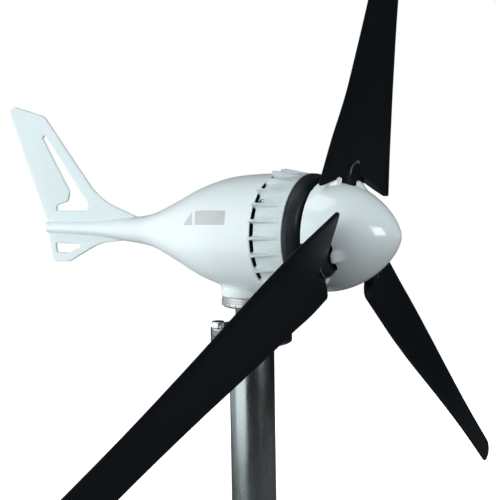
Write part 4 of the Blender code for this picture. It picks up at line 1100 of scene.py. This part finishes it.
class TURBINE_OT_generator_ring(Operator):
    """Builds the finned generator ring with its screws"""

    bl_idname = "turbine.generator_ring"
    bl_label = "Generator ring"

    def execute(self, context):
        sizes = context.scene.turbine_sizes
        rear, front = forward_span("stator_housing")
        ring_rear = rear + VENT_GAP
        corners = [
            (RING_FLANGE_BORE, front, 0.4 * MM),
            (RING_FRONT_RADIUS, front, 1.3 * MM),
            (RING_RADIUS, ring_rear, sizes.edge_radius),
            (RING_BORE, ring_rear, 0.6 * MM),
            (RING_BORE, front - RING_FLANGE, 0.4 * MM),
            (RING_FLANGE_BORE, front - RING_FLANGE, 0.4 * MM),
        ]
        ring = turned("ring", corners, 192, NOSE, "casting", 6)
        shank, head = SCREW_SHANK + GAP, SCREW_HEAD + 0.4 * MM
        deep, out = -20 * MM, 9 * MM
        profile = [(0, deep), (shank, deep), (shank, 0), (head, 0), (head, out), (0, out)]
        pockets = []
        for node in RING_SCREWS:
            pockets.append(made(f"{node}_pocket", revolve(profile, 32), ring_screw_matrix(node)))
        combined(ring, "DIFFERENCE", pockets)
        rib = rib_shape(sizes, front - RIB_START, ring_rear, front)
        ribs = copies("ribs", rib, sizes.rib_count, 0.0, 0.0, 0.0, "casting", NOSE)
        bridges = copies("bridges", bridge_shape(rear), sizes.rib_count, 0.0, 0.0, 0.0, "casting", NOSE)
        whole = joined("generator_ring", [ring, ribs, bridges])
        finished(whole, "nacelle", "cast_white", "stator_housing")
        screws("ring_screws", [(node, ring_screw_matrix(node), RING_SCREW_LENGTH) for node in RING_SCREWS])
        return {"FINISHED"}


class TURBINE_OT_front_cover(Operator):
    """Builds the dark cover ring ahead of the generator"""

    bl_idname = "turbine.front_cover"
    bl_label = "Front cover"

    def execute(self, context):
        rear, front = forward_span("front_cover")
        radius = across("front_cover")
        seat = across("front_bearing_outer_race") + GAP
        hub = seat + COVER_HUB_WALL
        web = front - COVER_WEB
        corners = [
            (radius - 0.3 * MM, rear, 1.2 * MM),
            (radius - 0.3 * MM, rear + 5 * MM, 10 * MM),
            (radius - 4.5 * MM, front - 4 * MM, 10 * MM),
            (radius - 14 * MM, front, 14 * MM),
            (seat, front, 0.5 * MM),
            (seat, rear, 0.4 * MM),
            (hub, rear, 0.4 * MM),
            (hub, web, 0.4 * MM),
            (COVER_BORE, web, 0.4 * MM),
            (COVER_BORE, rear, 0.4 * MM),
        ]
        cover = turned("cover", corners, 192, NOSE, "cover", 8)
        finished(cover, "nacelle", "graphite_paint", "front_cover")
        return {"FINISHED"}


# ---------------------------------------------------------------- rotor

BLADE_ANGLES = spread(3)
SPINNER_RADIUS = 69.7 * MM
SPINNER_REAR = -34.7 * MM
SPINNER_NOSE = 60.7 * MM
SPINNER_FULLNESS = 1.84
SPINNER_ROUNDING = 1.45
BUMP_TOP = 67.5 * MM
BUMP_TRAILING = (-11.5, -5.5)  # where the bump rises and falls, in millimetres
BUMP_LEADING = (1.5, 7.5)
BUMP_REAR = (-3, 2)
BUMP_FRONT = (1, 18)
WELD_DISTANCE = 0.02 * MM
ROOT_OFFSET = -3.5 * MM
ROOT_WIDTH = 38 * MM
ROOT_THICKNESS = 12 * MM
ROOT_OUTER = 71 * MM  # centre of the root's round end
ROOT_INNER = 20 * MM
ROOT_CORNER = 6 * MM
ROOT_EDGE = 1.3 * MM
RIM_WIDTH = 1.4 * MM
RIM_DEPTH = 1.35 * MM
RIM_REACH = 10 * MM
BLADE_BOLT_HOLE = 4.3 * MM


def blade_frame(angle):
    """The rotor's frame, turned so that local Y points along the blade at this angle."""
    return ROTOR @ Matrix.Rotation(-angle, 4, "Z")


def spinner_radius(forward):
    share = (forward - SPINNER_REAR) / (SPINNER_NOSE - SPINNER_REAR)
    return SPINNER_RADIUS * max(1 - share**SPINNER_FULLNESS, 0) ** (1 / SPINNER_ROUNDING)


def spinner_skin():
    """A geometry tree for the nose's outer skin: a grid wrapped round the axis, its radius a rule of the
    distance forward, raised in a smooth bump ahead of each blade opening."""
    group, tree, start = node_group(
        "spinner_skin",
        {
            "Sides": "Int",
            "Rings": "Int",
            "Radius": "Float",
            "Rear": "Float",
            "Nose": "Float",
            "Bump top": "Float",
            "Blades": "Int",
            "Material": "Material",
        },
    )
    grid = tree.add(
        "GeometryNodeMeshGrid",
        values={
            "Size X": 1.0,
            "Size Y": 1.0,
            "Vertices X": start.output("Rings") + 1,
            "Vertices Y": start.output("Sides") + 1,
        },
    )
    xyz = tree.add("ShaderNodeSeparateXYZ", values=(tree.add("GeometryNodeInputPosition"),))
    along = 0.5 - xyz
    angle = (xyz.output("Y") + 0.5) * (2 * math.pi)
    share = 1 - along * along
    length = start.output("Nose") - start.output("Rear")
    forward = start.output("Rear") + share * length
    left = (1 - share**SPINNER_FULLNESS).math("MAXIMUM", 0.0)
    radius = start.output("Radius") * left ** (1 / SPINNER_ROUNDING)
    sector = 2 * math.pi / start.output("Blades")
    from_blade = tree.add("ShaderNodeMath", {"operation": "WRAP"}, (angle, sector * 0.5, sector * -0.5))
    aside = from_blade * radius
    spare = (start.output("Bump top") - radius).math("MAXIMUM", 0.0)

    def ease(value, span):
        return tree.add(
            "ShaderNodeMapRange",
            {"interpolation_type": "SMOOTHSTEP"},
            {"Value": value, "From Min": span[0] * MM, "From Max": span[1] * MM},
        )

    sides = ease(aside, BUMP_TRAILING) * (1 - ease(aside, BUMP_LEADING))
    fall = 1 - ease(forward, BUMP_FRONT)
    raised = radius + spare * sides * (ease(forward, BUMP_REAR) * fall * fall)
    place = tree.add(
        "ShaderNodeCombineXYZ", values=(raised * angle.math("SINE"), raised * angle.math("COSINE"), forward)
    )
    moved = tree.add("GeometryNodeSetPosition", values={"Geometry": grid, "Position": place})
    welded = tree.add("GeometryNodeMergeByDistance", values={"Geometry": moved, "Distance": WELD_DISTANCE})
    end_group(tree, welded, start.output("Material"))
    return group


# The blade's opening and the lip beside it: (towards the leading edge, forward, fillet radius) in millimetres
CUTOUT = (
    (16.8, -45, 0), (16.8, -2.4, 5), (12.6, 1.6, 4), (7.4, 2.6, 3), (1, 0.9, 4), (-8, 0.9, 3),
    (-11.7, 3.5, 2.5), (-18.4, 3.4, 3), (-22.6, -3.5, 4), (-26.8, -12, 8), (-36, -22, 20), (-66, -45, 0)
)
LIP_LINE = ((-28.5, -10), (-35, -14), (-42, -19.5), (-48, -25.5), (-52, -31), (-53, -33.5))
# Shares of the lip's width and height, up its inner side and down its outer side
LIP_PROFILE = ((0, -1), (0, 0.55), (0.12, 0.85), (0.35, 1), (0.65, 0.92), (0.88, 0.5), (1.1, -0.2), (1.1, -1))


def radial_frame(angle):
    """Outlines of (towards the leading edge, forward), with depth away from the axis, at this blade angle."""
    return blade_frame(angle) @ Matrix(((1, 0, 0, 0), (0, 0, 1, 0), (0, 1, 0, 0), (0, 0, 0, 1)))


def lip_shape(sizes):
    """A rounded lip that stands on the skin along the trailing side of a blade opening."""
    corners = [Vector(point) for point in LIP_LINE]
    line = [a.lerp(b, step / 6) for a, b in zip(corners, corners[1:]) for step in range(6)] + corners[-1:]
    for _ in range(6):
        line = [line[0]] + [(a + 2 * b + c) / 4 for a, b, c in zip(line, line[1:], line[2:])] + [line[-1]]
    last = len(line) - 1
    rings = []
    for index, point in enumerate(line):
        ahead = line[min(index + 1, last)] - line[max(index - 1, 0)]
        outer_side = Vector((-ahead.y, ahead.x)).normalized()
        if outer_side.x > 0:
            outer_side = -outer_side
        start = min(1.0, 0.8 + index * 0.1)
        taper = math.sin(math.pi / 2 * min(1.0, 0.02 + 1.25 * (1 - index / last)))
        grow = start * taper
        ring = []
        for share, lift in LIP_PROFILE:
            x, z = (point + outer_side * (sizes.lip_width / MM * share * grow)) * MM
            radius = spinner_radius(z) + sizes.lip_height * lift * (grow if lift > 0 else 0.4)
            ring.append((x, math.sqrt(radius * radius - x * x), z))
        rings.append(ring)
    return loft(rings)


class TURBINE_OT_spinner(Operator):
    """Builds the nose cover with its blade openings"""

    bl_idname = "turbine.spinner"
    bl_label = "Spinner"

    def execute(self, context):
        sizes = context.scene.turbine_sizes
        values = {
            "Sides": 264,
            "Rings": 96,
            "Radius": SPINNER_RADIUS,
            "Rear": SPINNER_REAR,
            "Nose": SPINNER_NOSE,
            "Bump top": BUMP_TOP,
            "Blades": len(BLADE_ANGLES),
            "Material": FINISHES["nose_paint"],
        }
        skin = grown("nose_cover", spinner_skin(), values, ROTOR)
        self.face_outwards(skin)
        wall = skin.modifiers.new("wall", "SOLIDIFY")
        wall.thickness = sizes.spinner_wall
        wall.offset = -1
        baked(skin)
        cutters = []
        lips = []
        for index, angle in enumerate(BLADE_ANGLES):
            shape = prism(rounded(in_metres(CUTOUT)), 30 * MM, 90 * MM)
            cutters.append(made(f"opening_{index}", shape, radial_frame(angle)))
            lips.append(made(f"lip_{index}", lip_shape(sizes), blade_frame(angle), "nose_paint"))
        combined(skin, "DIFFERENCE", cutters)
        finished(joined("nose_cover", [skin, *lips]), "rotor", "white_paint", "spinner")
        return {"FINISHED"}

    @staticmethod
    def face_outwards(item):
        """The open skin's faces away from the axis."""
        shape = bmesh.new()
        shape.from_mesh(item.data)
        outward(shape)
        shape.faces.ensure_lookup_table()
        face = shape.faces[len(shape.faces) // 2]
        centre = face.calc_center_median()
        spoke = Vector((centre.x - HUB.x, 0, centre.z - HUB.z))
        if face.normal.dot(spoke) < 0:
            bmesh.ops.reverse_faces(shape, faces=shape.faces)
        shape.to_mesh(item.data)
        shape.free()


# Stations in millimetres from the rotor's axis; the twist is in degrees
CHORD_STATIONS = ((57, 120), (108, 109), (162, 95), (215, 84), (280, 70), (366, 54), (463, 42), (600, 35))
TWIST_STATIONS = ((60, 17.5), (205, 9), (410, 2.3), (600, 1.5))
LEADING_SHARE = ((60, 0.475), (108, 0.48), (172, 0.505), (600, 0.51))
BLADE_INNER = 74 * MM
LEADING_CORNER = 56 * MM
TRAILING_CORNER = 48 * MM
CORNER_ROUNDING = 7 * MM
CORNER_SHARE = 0.1  # of the half chord
FIRST_FULL_SECTION = 115 * MM
CONE_ANGLE = math.radians(3.35)
THICKNESS_SHARE = 0.10
CAMBER_SHARE = 0.045
TRAILING_THICKNESS = 1.2 * MM


def blade_chord(radius, sizes):
    chord = smooth(CHORD_STATIONS, min(radius, sizes.rotor_radius) / MM) * MM
    past = max(radius - (sizes.rotor_radius - sizes.tip_rounding), 0) / sizes.tip_rounding
    return chord * max(math.sqrt(max(1 - past * past, 0)), 0.06)


def blade_point(place, side, share, sizes):
    """A point of the skin: place along the chord from the leading edge, side 1 faces the wind, share from the
    root's curved end (0) to the first full section (1), and beyond that to the tip (2)."""
    nominal = smooth(LEADING_SHARE, BLADE_INNER / MM)
    towards = (nominal - place) / (nominal if place < nominal else 1 - nominal)
    corner = LEADING_CORNER if towards > 0 else TRAILING_CORNER
    into_corner = max(abs(towards) - 1 + CORNER_SHARE, 0) / CORNER_SHARE
    rounding = CORNER_ROUNDING * (1 - math.sqrt(max(1 - into_corner**2, 0)))
    start = BLADE_INNER - (BLADE_INNER - corner) * abs(towards) ** 1.5 + rounding
    if share < 1:
        radius = start * (1 - share) + FIRST_FULL_SECTION * share
    else:
        radius = FIRST_FULL_SECTION + (sizes.rotor_radius - FIRST_FULL_SECTION) * (share - 1)
    chord = blade_chord(radius, sizes)
    twist = math.radians(smooth(TWIST_STATIONS, radius / MM))
    lead = smooth(LEADING_SHARE, radius / MM)
    curve = 1.4845 * math.sqrt(place) - 0.63 * place - 1.758 * place**2 + 1.4215 * place**3 - 0.518 * place**4
    half_thickness = curve * THICKNESS_SHARE * chord + TRAILING_THICKNESS / 2 * place
    camber = -4 * CAMBER_SHARE * place * (1 - place) * chord
    along = (lead - place) * chord
    lift = camber + side * half_thickness
    lean = math.tan(CONE_ANGLE) * (radius - BLADE_INNER)
    x = along * math.cos(twist) - lift * math.sin(twist)
    z = along * math.sin(twist) + lift * math.cos(twist) + lean
    return (x, radius, z)


def blade_rings(sizes):
    """The airfoil part: sections from the scooped inner end to the rounded tip."""
    samples = 32
    places = [(1 - math.cos(math.pi * index / samples)) / 2 for index in range(samples + 1)]
    outer = sizes.rotor_radius - FIRST_FULL_SECTION
    tip = 1 + (outer - sizes.tip_rounding) / outer
    shares = [index / 9 for index in range(9)]
    shares += [1 + (tip - 1) * index / sizes.blade_samples for index in range(sizes.blade_samples)]
    shares += [tip + (2 - tip) * math.sin(math.pi / 2 * step / 9) for step in range(10)]
    rings = []
    for share in shares:
        front = [blade_point(place, 1, share, sizes) for place in places]
        back = [blade_point(place, -1, share, sizes) for place in reversed(places[1:])]
        rings.append(front + back)
    return rings


def root_outline():
    """The flat root: straight sides and a round outer end."""
    half = ROOT_WIDTH / 2
    turns = [math.pi * step / 28 for step in range(29)]
    arc = [(half * math.cos(a), ROOT_OUTER + half * math.sin(a)) for a in turns]
    side = ROOT_INNER + ROOT_CORNER
    flat = half - ROOT_CORNER
    corners = [(-half, side), (-flat, ROOT_INNER), (flat, ROOT_INNER), (half, side)]
    return [(x + ROOT_OFFSET, y) for x, y in arc + corners]


def add_span_map(item, inverse):
    """A UV map in metres: across the blade and along it, so that grain follows each blade."""
    layer = item.data.uv_layers.new(name="span")
    for loop in item.data.loops:
        point = inverse @ item.data.vertices[loop.vertex_index].co
        layer.data[loop.index].uv = (point.x + 0.3 * point.z, point.y)


def on_rim(centre):
    """On the front edge round the root's outer end, which takes a lighter grey: a painted highlight for the
    light that edge catches.
    """
    inside = ROOT_WIDTH / 2 - math.hypot(centre.x - ROOT_OFFSET, centre.y - ROOT_OUTER)
    on_end = -RIM_DEPTH < centre.z < 0 and centre.y > ROOT_OUTER - RIM_REACH
    return on_end and -0.1 * MM < inside < RIM_WIDTH


class TURBINE_OT_blades(Operator):
    """Builds the three blades with their flat roots"""

    bl_idname = "turbine.blades"
    bl_label = "Blades"

    def execute(self, context):
        sizes = context.scene.turbine_sizes
        rings = blade_rings(sizes)
        for number, angle in enumerate(BLADE_ANGLES, 1):
            matrix = blade_frame(angle)
            inverse = matrix.inverted()
            blade = made(f"airfoil_{number}", loft(rings, strips=True), matrix, "blade")
            root = made(f"root_{number}", prism(root_outline(), -ROOT_THICKNESS, 0), matrix, "blade")
            bevelled(root, ROOT_EDGE, 4)
            combined(blade, "UNION", [root])
            holes = []
            for bolt in (2 * number - 1, 2 * number):
                middle = middle_of(f"blade_bolt_{bolt}")
                place = Matrix.Translation((middle.x, HUB.y, middle.z)) @ Matrix.Rotation(math.pi / 2, 4, "X")
                drill = rod(BLADE_BOLT_HOLE, -30 * MM, 30 * MM, 24)
                holes.append(made(f"hole_{bolt}", drill, place))
            combined(blade, "DIFFERENCE", holes)
            # Painted highlight: the front edge of the root's round end takes the lighter grey.
            repaint_faces(blade, "rim", inverse, on_rim)
            add_span_map(blade, inverse)
            finished(blade, "rotor", "black_plastic", f"blade_{number}")
        return {"FINISHED"}


def repaint(finish, *nodes):
    """A new finish on CAD nodes that keep their shape."""
    for node in nodes:
        item = frame["nodes"][node]
        if not item.data.materials:
            item.data.materials.append(FINISHES[finish])
        for slot in item.material_slots:
            slot.material = FINISHES[finish]


class TURBINE_OT_hub(Operator):
    """Gives the clamped hub behind the spinner its finishes"""

    bl_idname = "turbine.hub"
    bl_label = "Hub"

    def execute(self, context):
        repaint("hub_steel", "hub_plate", "clamp_plate", "main_shaft", "magnet_drum")
        repaint("zinc", "shaft_nut", *numbered("blade_bolt", 6))
        repaint("zinc", *numbered("spinner_screw", 3), *numbered("cover_screw", 3))
        return {"FINISHED"}


# ---------------------------------------------------------------- yaw head and mast

COLLAR_BORE = 22.3 * MM
COLLAR_SEAT = 31.3 * MM
COLLAR_FLOOR = 2 * MM
SHAFT_BORE = 9 * MM
SHAFT_RADIUS = 17.2 * MM
SHAFT_NECK = 14.7 * MM
PIN_RADIUS = 1 * MM
PIN_COUNT = 24
PIN_LEVEL = 4.1 * MM
BOLT_CIRCLE = 44 * MM
BOLT_RADIUS = 5 * MM
BOLT_FLATS = 16 * MM
UPPER_FLANGE_BORE = 21.1 * MM
LOWER_FLANGE_BORE = 16 * MM
TUBE_WALL = 3.65 * MM


class TURBINE_OT_yaw_head(Operator):
    """Builds the collar below the neck and the shaft that it turns on"""

    bl_idname = "turbine.yaw_head"
    bl_label = "Yaw head"

    def execute(self, context):
        low, high = height_span("yaw_collar")
        radius = across("yaw_collar")
        floor = low + COLLAR_FLOOR
        # (inside the collar's radius, above its foot, fillet radius) of the outer side, in millimetres
        outer_side = (
            (2.6, 0, 0.8), (0, 2.2, 0.7), (0, 6.0, 0.2), (0.5, 6.3, 0.1), (0.5, 6.9, 0.1), (0, 7.2, 0.2),
            (0, 9.6, 0.4), (1.4, 9.9, 0.2)
        )
        corners = [(COLLAR_BORE, low, 0.4 * MM)]
        corners += [(radius - inside * MM, low + up * MM, fillet * MM) for inside, up, fillet in outer_side]
        corners += [
            (radius - 1.4 * MM, high - 1.3 * MM, 0.2 * MM),
            (radius - 0.3 * MM, high - 1.0 * MM, 0.2 * MM),
            (radius - 0.3 * MM, high, 0.3 * MM),
            (COLLAR_SEAT, high, 0.3 * MM),
            (COLLAR_SEAT, floor, 0.2 * MM),
            (COLLAR_BORE, floor, 0.3 * MM),
        ]
        collar = turned("collar", corners, 176, HEAD, "collar")
        pin = rod(PIN_RADIUS, -2 * MM, 3 * MM, 16)
        pin.transform(Matrix.Rotation(math.pi / 2, 4, "Y"))
        # Painted shade: the pin holes' cutter carries the near-black finish, for the shade inside the holes.
        holes = copies("pin_holes", pin, PIN_COUNT, radius, 0.05, low + PIN_LEVEL, "vent", HEAD)
        combined(collar, "DIFFERENCE", [holes])
        finished(collar, "nacelle", "machined_aluminium", "yaw_collar")

        bottom, top = height_span("yaw_shaft")
        neck = height_span("upper_yaw_bearing_inner_race")[0] - GAP
        corners = [
            (SHAFT_BORE, bottom, 0.5 * MM),
            (across("yaw_shaft"), bottom, 0.5 * MM),
            (across("yaw_shaft"), floor, 0.6 * MM),
            (SHAFT_RADIUS, floor, 0.3 * MM),
            (SHAFT_RADIUS, neck, 0.5 * MM),
            (SHAFT_NECK, neck, 0.3 * MM),
            (SHAFT_NECK, top, 0.8 * MM),
            (SHAFT_BORE, top, 0.5 * MM),
        ]
        shaft = turned("swivel_shaft", corners, 96, HEAD, "shaft")
        finished(shaft, "mast", "steel", "yaw_shaft")
        return {"FINISHED"}


def sleeve(inner, outer, low, high, fillets):
    """Corners of a plain ring, with a fillet in millimetres for each."""
    corners = ((inner, low), (outer, low), (outer, high), (inner, high))
    return [(radius, level, fillet * MM) for (radius, level), fillet in zip(corners, fillets)]


class TURBINE_OT_flanges(Operator):
    """Builds the two flanges and the bolts that clamp them"""

    bl_idname = "turbine.flanges"
    bl_label = "Flanges"

    def execute(self, context):
        radius = across("pivot_flange")
        middle = middle_of("flange_bolt_1")
        first = math.atan2(middle.y, middle.x)
        upper = ("upper_flange", "pivot_flange", UPPER_FLANGE_BORE)
        lower = ("lower_flange", "mast_flange", LOWER_FLANGE_BORE)
        for name, node, bore in (upper, lower):
            low, high = height_span(node)
            corners = sleeve(bore, radius, low, high, (0.5, 0.9, 0.9, 0.5))
            plate = turned(name, corners, 176, HEAD, "flange")
            hole = rod(BOLT_RADIUS + GAP, -50 * MM, 50 * MM, 32)
            holes = copies(name + "_holes", hole, 4, BOLT_CIRCLE, first, low, "flange", HEAD)
            combined(plate, "DIFFERENCE", [holes])
            finished(plate, "mast", "steel", node)
        seat = height_span("pivot_flange")[1] + GAP
        low, high = height_span("flange_bolt_1")
        bolt = hex_bolt_shape(BOLT_RADIUS, BOLT_FLATS, high - seat, seat - low)
        bolts = copies("flange_bolts", bolt, 4, BOLT_CIRCLE, first, seat, "zinc", HEAD)
        finished(bolts, "mast", "steel", *numbered("flange_bolt", 4))
        return {"FINISHED"}


class TURBINE_OT_mast(Operator):
    """Builds the mast tube"""

    bl_idname = "turbine.mast"
    bl_label = "Mast"

    def execute(self, context):
        low, high = height_span("mast_tube")
        radius = across("mast_tube")
        corners = sleeve(radius - TUBE_WALL, radius, low, high, (0.5, 0.8, 0.4, 0.4))
        tube = turned("tube", corners, 160, HEAD, "mast")
        finished(tube, "mast", "steel", "mast_tube")
        return {"FINISHED"}


class TURBINE_OT_inner_parts(Operator):
    """Gives the generator's and the yaw head's hidden pieces their finishes"""

    bl_idname = "turbine.inner_parts"
    bl_label = "Inner parts"

    def execute(self, context):
        for bearing in ("lower_yaw_bearing", "upper_yaw_bearing", "front_bearing", "rear_bearing"):
            repaint("race", f"{bearing}_inner_race", f"{bearing}_outer_race")
        repaint("shaft", "yaw_lock_nut")
        repaint("ring_copper", *numbered("slip_ring", 3))
        repaint("copper", "stator_winding")
        repaint("laminations", "stator_core")
        repaint("magnet", "magnet_ring")
        repaint("carbon", *numbered("brush", 3))
        repaint("insulator", "brush_holder", "slip_ring_core")
        repaint("inner_casting", "rear_bearing_plate")
        return {"FINISHED"}


# ---------------------------------------------------------------- stage

VIEW_RIGHT = Vector((0.5534, -0.8328, -0.0168))
VIEW_UP = Vector((0.0841, 0.0358, 0.9958))
VIEW_FORWARD = Vector((0.8287, 0.5525, -0.0899))
CAMERA_PLACE = Vector((-0.8752, -0.5803, 0.8223))
SENSOR_WIDTH = 36
LENS = 57.62
# (turn, rise, distance, size, strength, seen in reflections)
LAMPS = {
    "left_tall": (-66, 0, 2.0, (2.3, 2.1), 0.55, True),
    "left_rear": (-116, -14, 2.2, (1.4, 1.0), 0.6, False),
    "left_edge": (-120, -6, 2.2, (1.8, 2.2), 0.13, True),
    "left_low": (-76, -18, 1.7, (1.2, 0.4), 0.24, False),
    "front_left": (-34, 26, 2.2, (1.6, 1.6), 0.42, False),
    "right": (92, 0, 2.0, (1.0, 1.4), 0.45, False),
    "right_rear": (150, 12, 2.2, (1.4, 1.4), 0.42, False),
    "top": (-60, 68, 2.0, (1.2, 1.2), 0.3, True),
    "window": (45, 15, 1.6, (0.48, 0.6), 0.3, True),
}


def add_camera():
    data = bpy.data.cameras.new("camera")
    data.sensor_width = SENSOR_WIDTH
    data.lens = LENS
    data.clip_start = 0.05
    data.clip_end = 60
    camera = added("camera", data)
    axes = Matrix((VIEW_RIGHT, VIEW_UP, -VIEW_FORWARD)).transposed()
    camera.matrix_world = Matrix.Translation(CAMERA_PLACE) @ axes.to_4x4()
    bpy.context.scene.camera = camera


def softbox(name, turn, rise, distance, size, strength, mirrored):
    """A soft lamp about the hub: turned from the camera's side to the right, and raised, in degrees. Its
    strength is what a white surface that faces it would show. One that isn't mirrored stays out of
    reflections."""
    back = Vector((-VIEW_FORWARD.x, -VIEW_FORWARD.y, 0)).normalized()
    side = Vector((-back.y, back.x, 0))
    around = back * math.cos(math.radians(turn)) + side * math.sin(math.radians(turn))
    way = around * math.cos(math.radians(rise)) + Vector((0, 0, math.sin(math.radians(rise))))
    data = bpy.data.lights.new(name, "AREA")
    data.shape = "RECTANGLE"
    data.size, data.size_y = size
    data.energy = strength * (math.pi * distance) ** 2
    lamp = added(name, data)
    lamp.location = HUB + way * distance
    lamp.rotation_euler = (-way).to_track_quat("-Z", "Y").to_euler()
    lamp.visible_camera = False
    lamp.visible_glossy = mirrored


def add_floor():
    """A wide pale floor that runs into the backdrop and keeps the turbine's shadow."""
    shape = bmesh.new()
    bmesh.ops.create_grid(shape, x_segments=8, y_segments=8, size=14)
    floor = made("floor", shape, Matrix.Translation((0, 0, -0.0005)))
    finish = Finish("floor_paint", Roughness=0.9, Specular_IOR_Level=0.0)
    seen = finish.add("ShaderNodeLightPath", output="Is Camera Ray")
    pale = finish.shades((0.84, 0.84, 0.84), 0.985, 1.0, finish.noise(1.5, 3))
    distance = finish.add("ShaderNodeVectorMath", {"operation": "LENGTH"}, (finish.place,), "Value")
    far = finish.add("ShaderNodeMapRange", values={"Value": distance, "From Min": 0.6, "From Max": 1.5})
    glow = finish.mix(far, (0.38, 0.38, 0.38), (1.0, 1.0, 1.0))
    finish.shader.inputs["Emission Strength"].default_value = 1.0
    finish.feed(
        base_color=finish.mix(seen, (0.1, 0.1, 0.1), pale), emission_color=finish.mix(seen, (0, 0, 0), glow)
    )
    floor.data.materials.append(finish.material)


def add_world():
    """A plain room: white where it is seen and dim where it lights."""
    world = bpy.data.worlds.new("room")
    bpy.context.scene.world = world
    world.use_nodes = True
    world.node_tree.nodes.clear()
    tree = Tree(world.node_tree)
    seen = tree.add("ShaderNodeLightPath", output="Is Camera Ray")
    strength = seen * 0.975 + 0.025
    glow = tree.add("ShaderNodeBackground", values={"Color": (1, 1, 1, 1), "Strength": strength})
    end = tree.tree.nodes.new("ShaderNodeOutputWorld")
    tree.tree.links.new(glow.socket, end.inputs["Surface"])


class TURBINE_OT_stage(Operator):
    """Adds the floor, the room's light, the lamps and the camera"""

    bl_idname = "turbine.stage"
    bl_label = "Stage"

    def execute(self, context):
        context.scene.view_settings.view_transform = "Standard"
        add_camera()
        add_floor()
        add_world()
        for name, settings in LAMPS.items():
            softbox(name, *settings)
        return {"FINISHED"}


# ---------------------------------------------------------------- panel and registration

STEPS = (
    TURBINE_OT_stage,
    TURBINE_OT_mast,
    TURBINE_OT_flanges,
    TURBINE_OT_yaw_head,
    TURBINE_OT_nacelle,
    TURBINE_OT_tail_fin,
    TURBINE_OT_stickers,
    TURBINE_OT_generator_ring,
    TURBINE_OT_front_cover,
    TURBINE_OT_spinner,
    TURBINE_OT_blades,
    TURBINE_OT_hub,
    TURBINE_OT_inner_parts,
)


class TURBINE_PT_looks(Panel):
    """Sizes, colours and the building steps of the turbine"""

    bl_idname = "TURBINE_PT_looks"
    bl_label = "Wind turbine"
    bl_space_type = "VIEW_3D"
    bl_region_type = "UI"
    bl_category = "Turbine"

    def draw(self, context):
        for group in (context.scene.turbine_sizes, context.scene.turbine_colours):
            column = self.layout.column(align=True)
            for name in group.__annotations__:
                column.prop(group, name)
        column = self.layout.column(align=True)
        for step in STEPS:
            column.operator(step.bl_idname)


CLASSES = (TurbineSizes, TurbineColours, *STEPS, TURBINE_PT_looks)


def register():
    for item in CLASSES:
        bpy.utils.register_class(item)
    bpy.types.Scene.turbine_sizes = PointerProperty(type=TurbineSizes)
    bpy.types.Scene.turbine_colours = PointerProperty(type=TurbineColours)


def unregister():
    del bpy.types.Scene.turbine_colours
    del bpy.types.Scene.turbine_sizes
    for item in reversed(CLASSES):
        bpy.utils.unregister_class(item)


def main():
    register()
    make_finishes(bpy.context.scene.turbine_colours)
    bpy.ops.turbine.stage()
    bpy.ops.turbine.mast()
    bpy.ops.turbine.flanges()
    bpy.ops.turbine.yaw_head()
    bpy.ops.turbine.nacelle()
    bpy.ops.turbine.tail_fin()
    bpy.ops.turbine.stickers()
    bpy.ops.turbine.generator_ring()
    bpy.ops.turbine.front_cover()
    bpy.ops.turbine.spinner()
    bpy.ops.turbine.blades()
    bpy.ops.turbine.hub()
    bpy.ops.turbine.inner_parts()


if __name__ == "__main__":
    main()
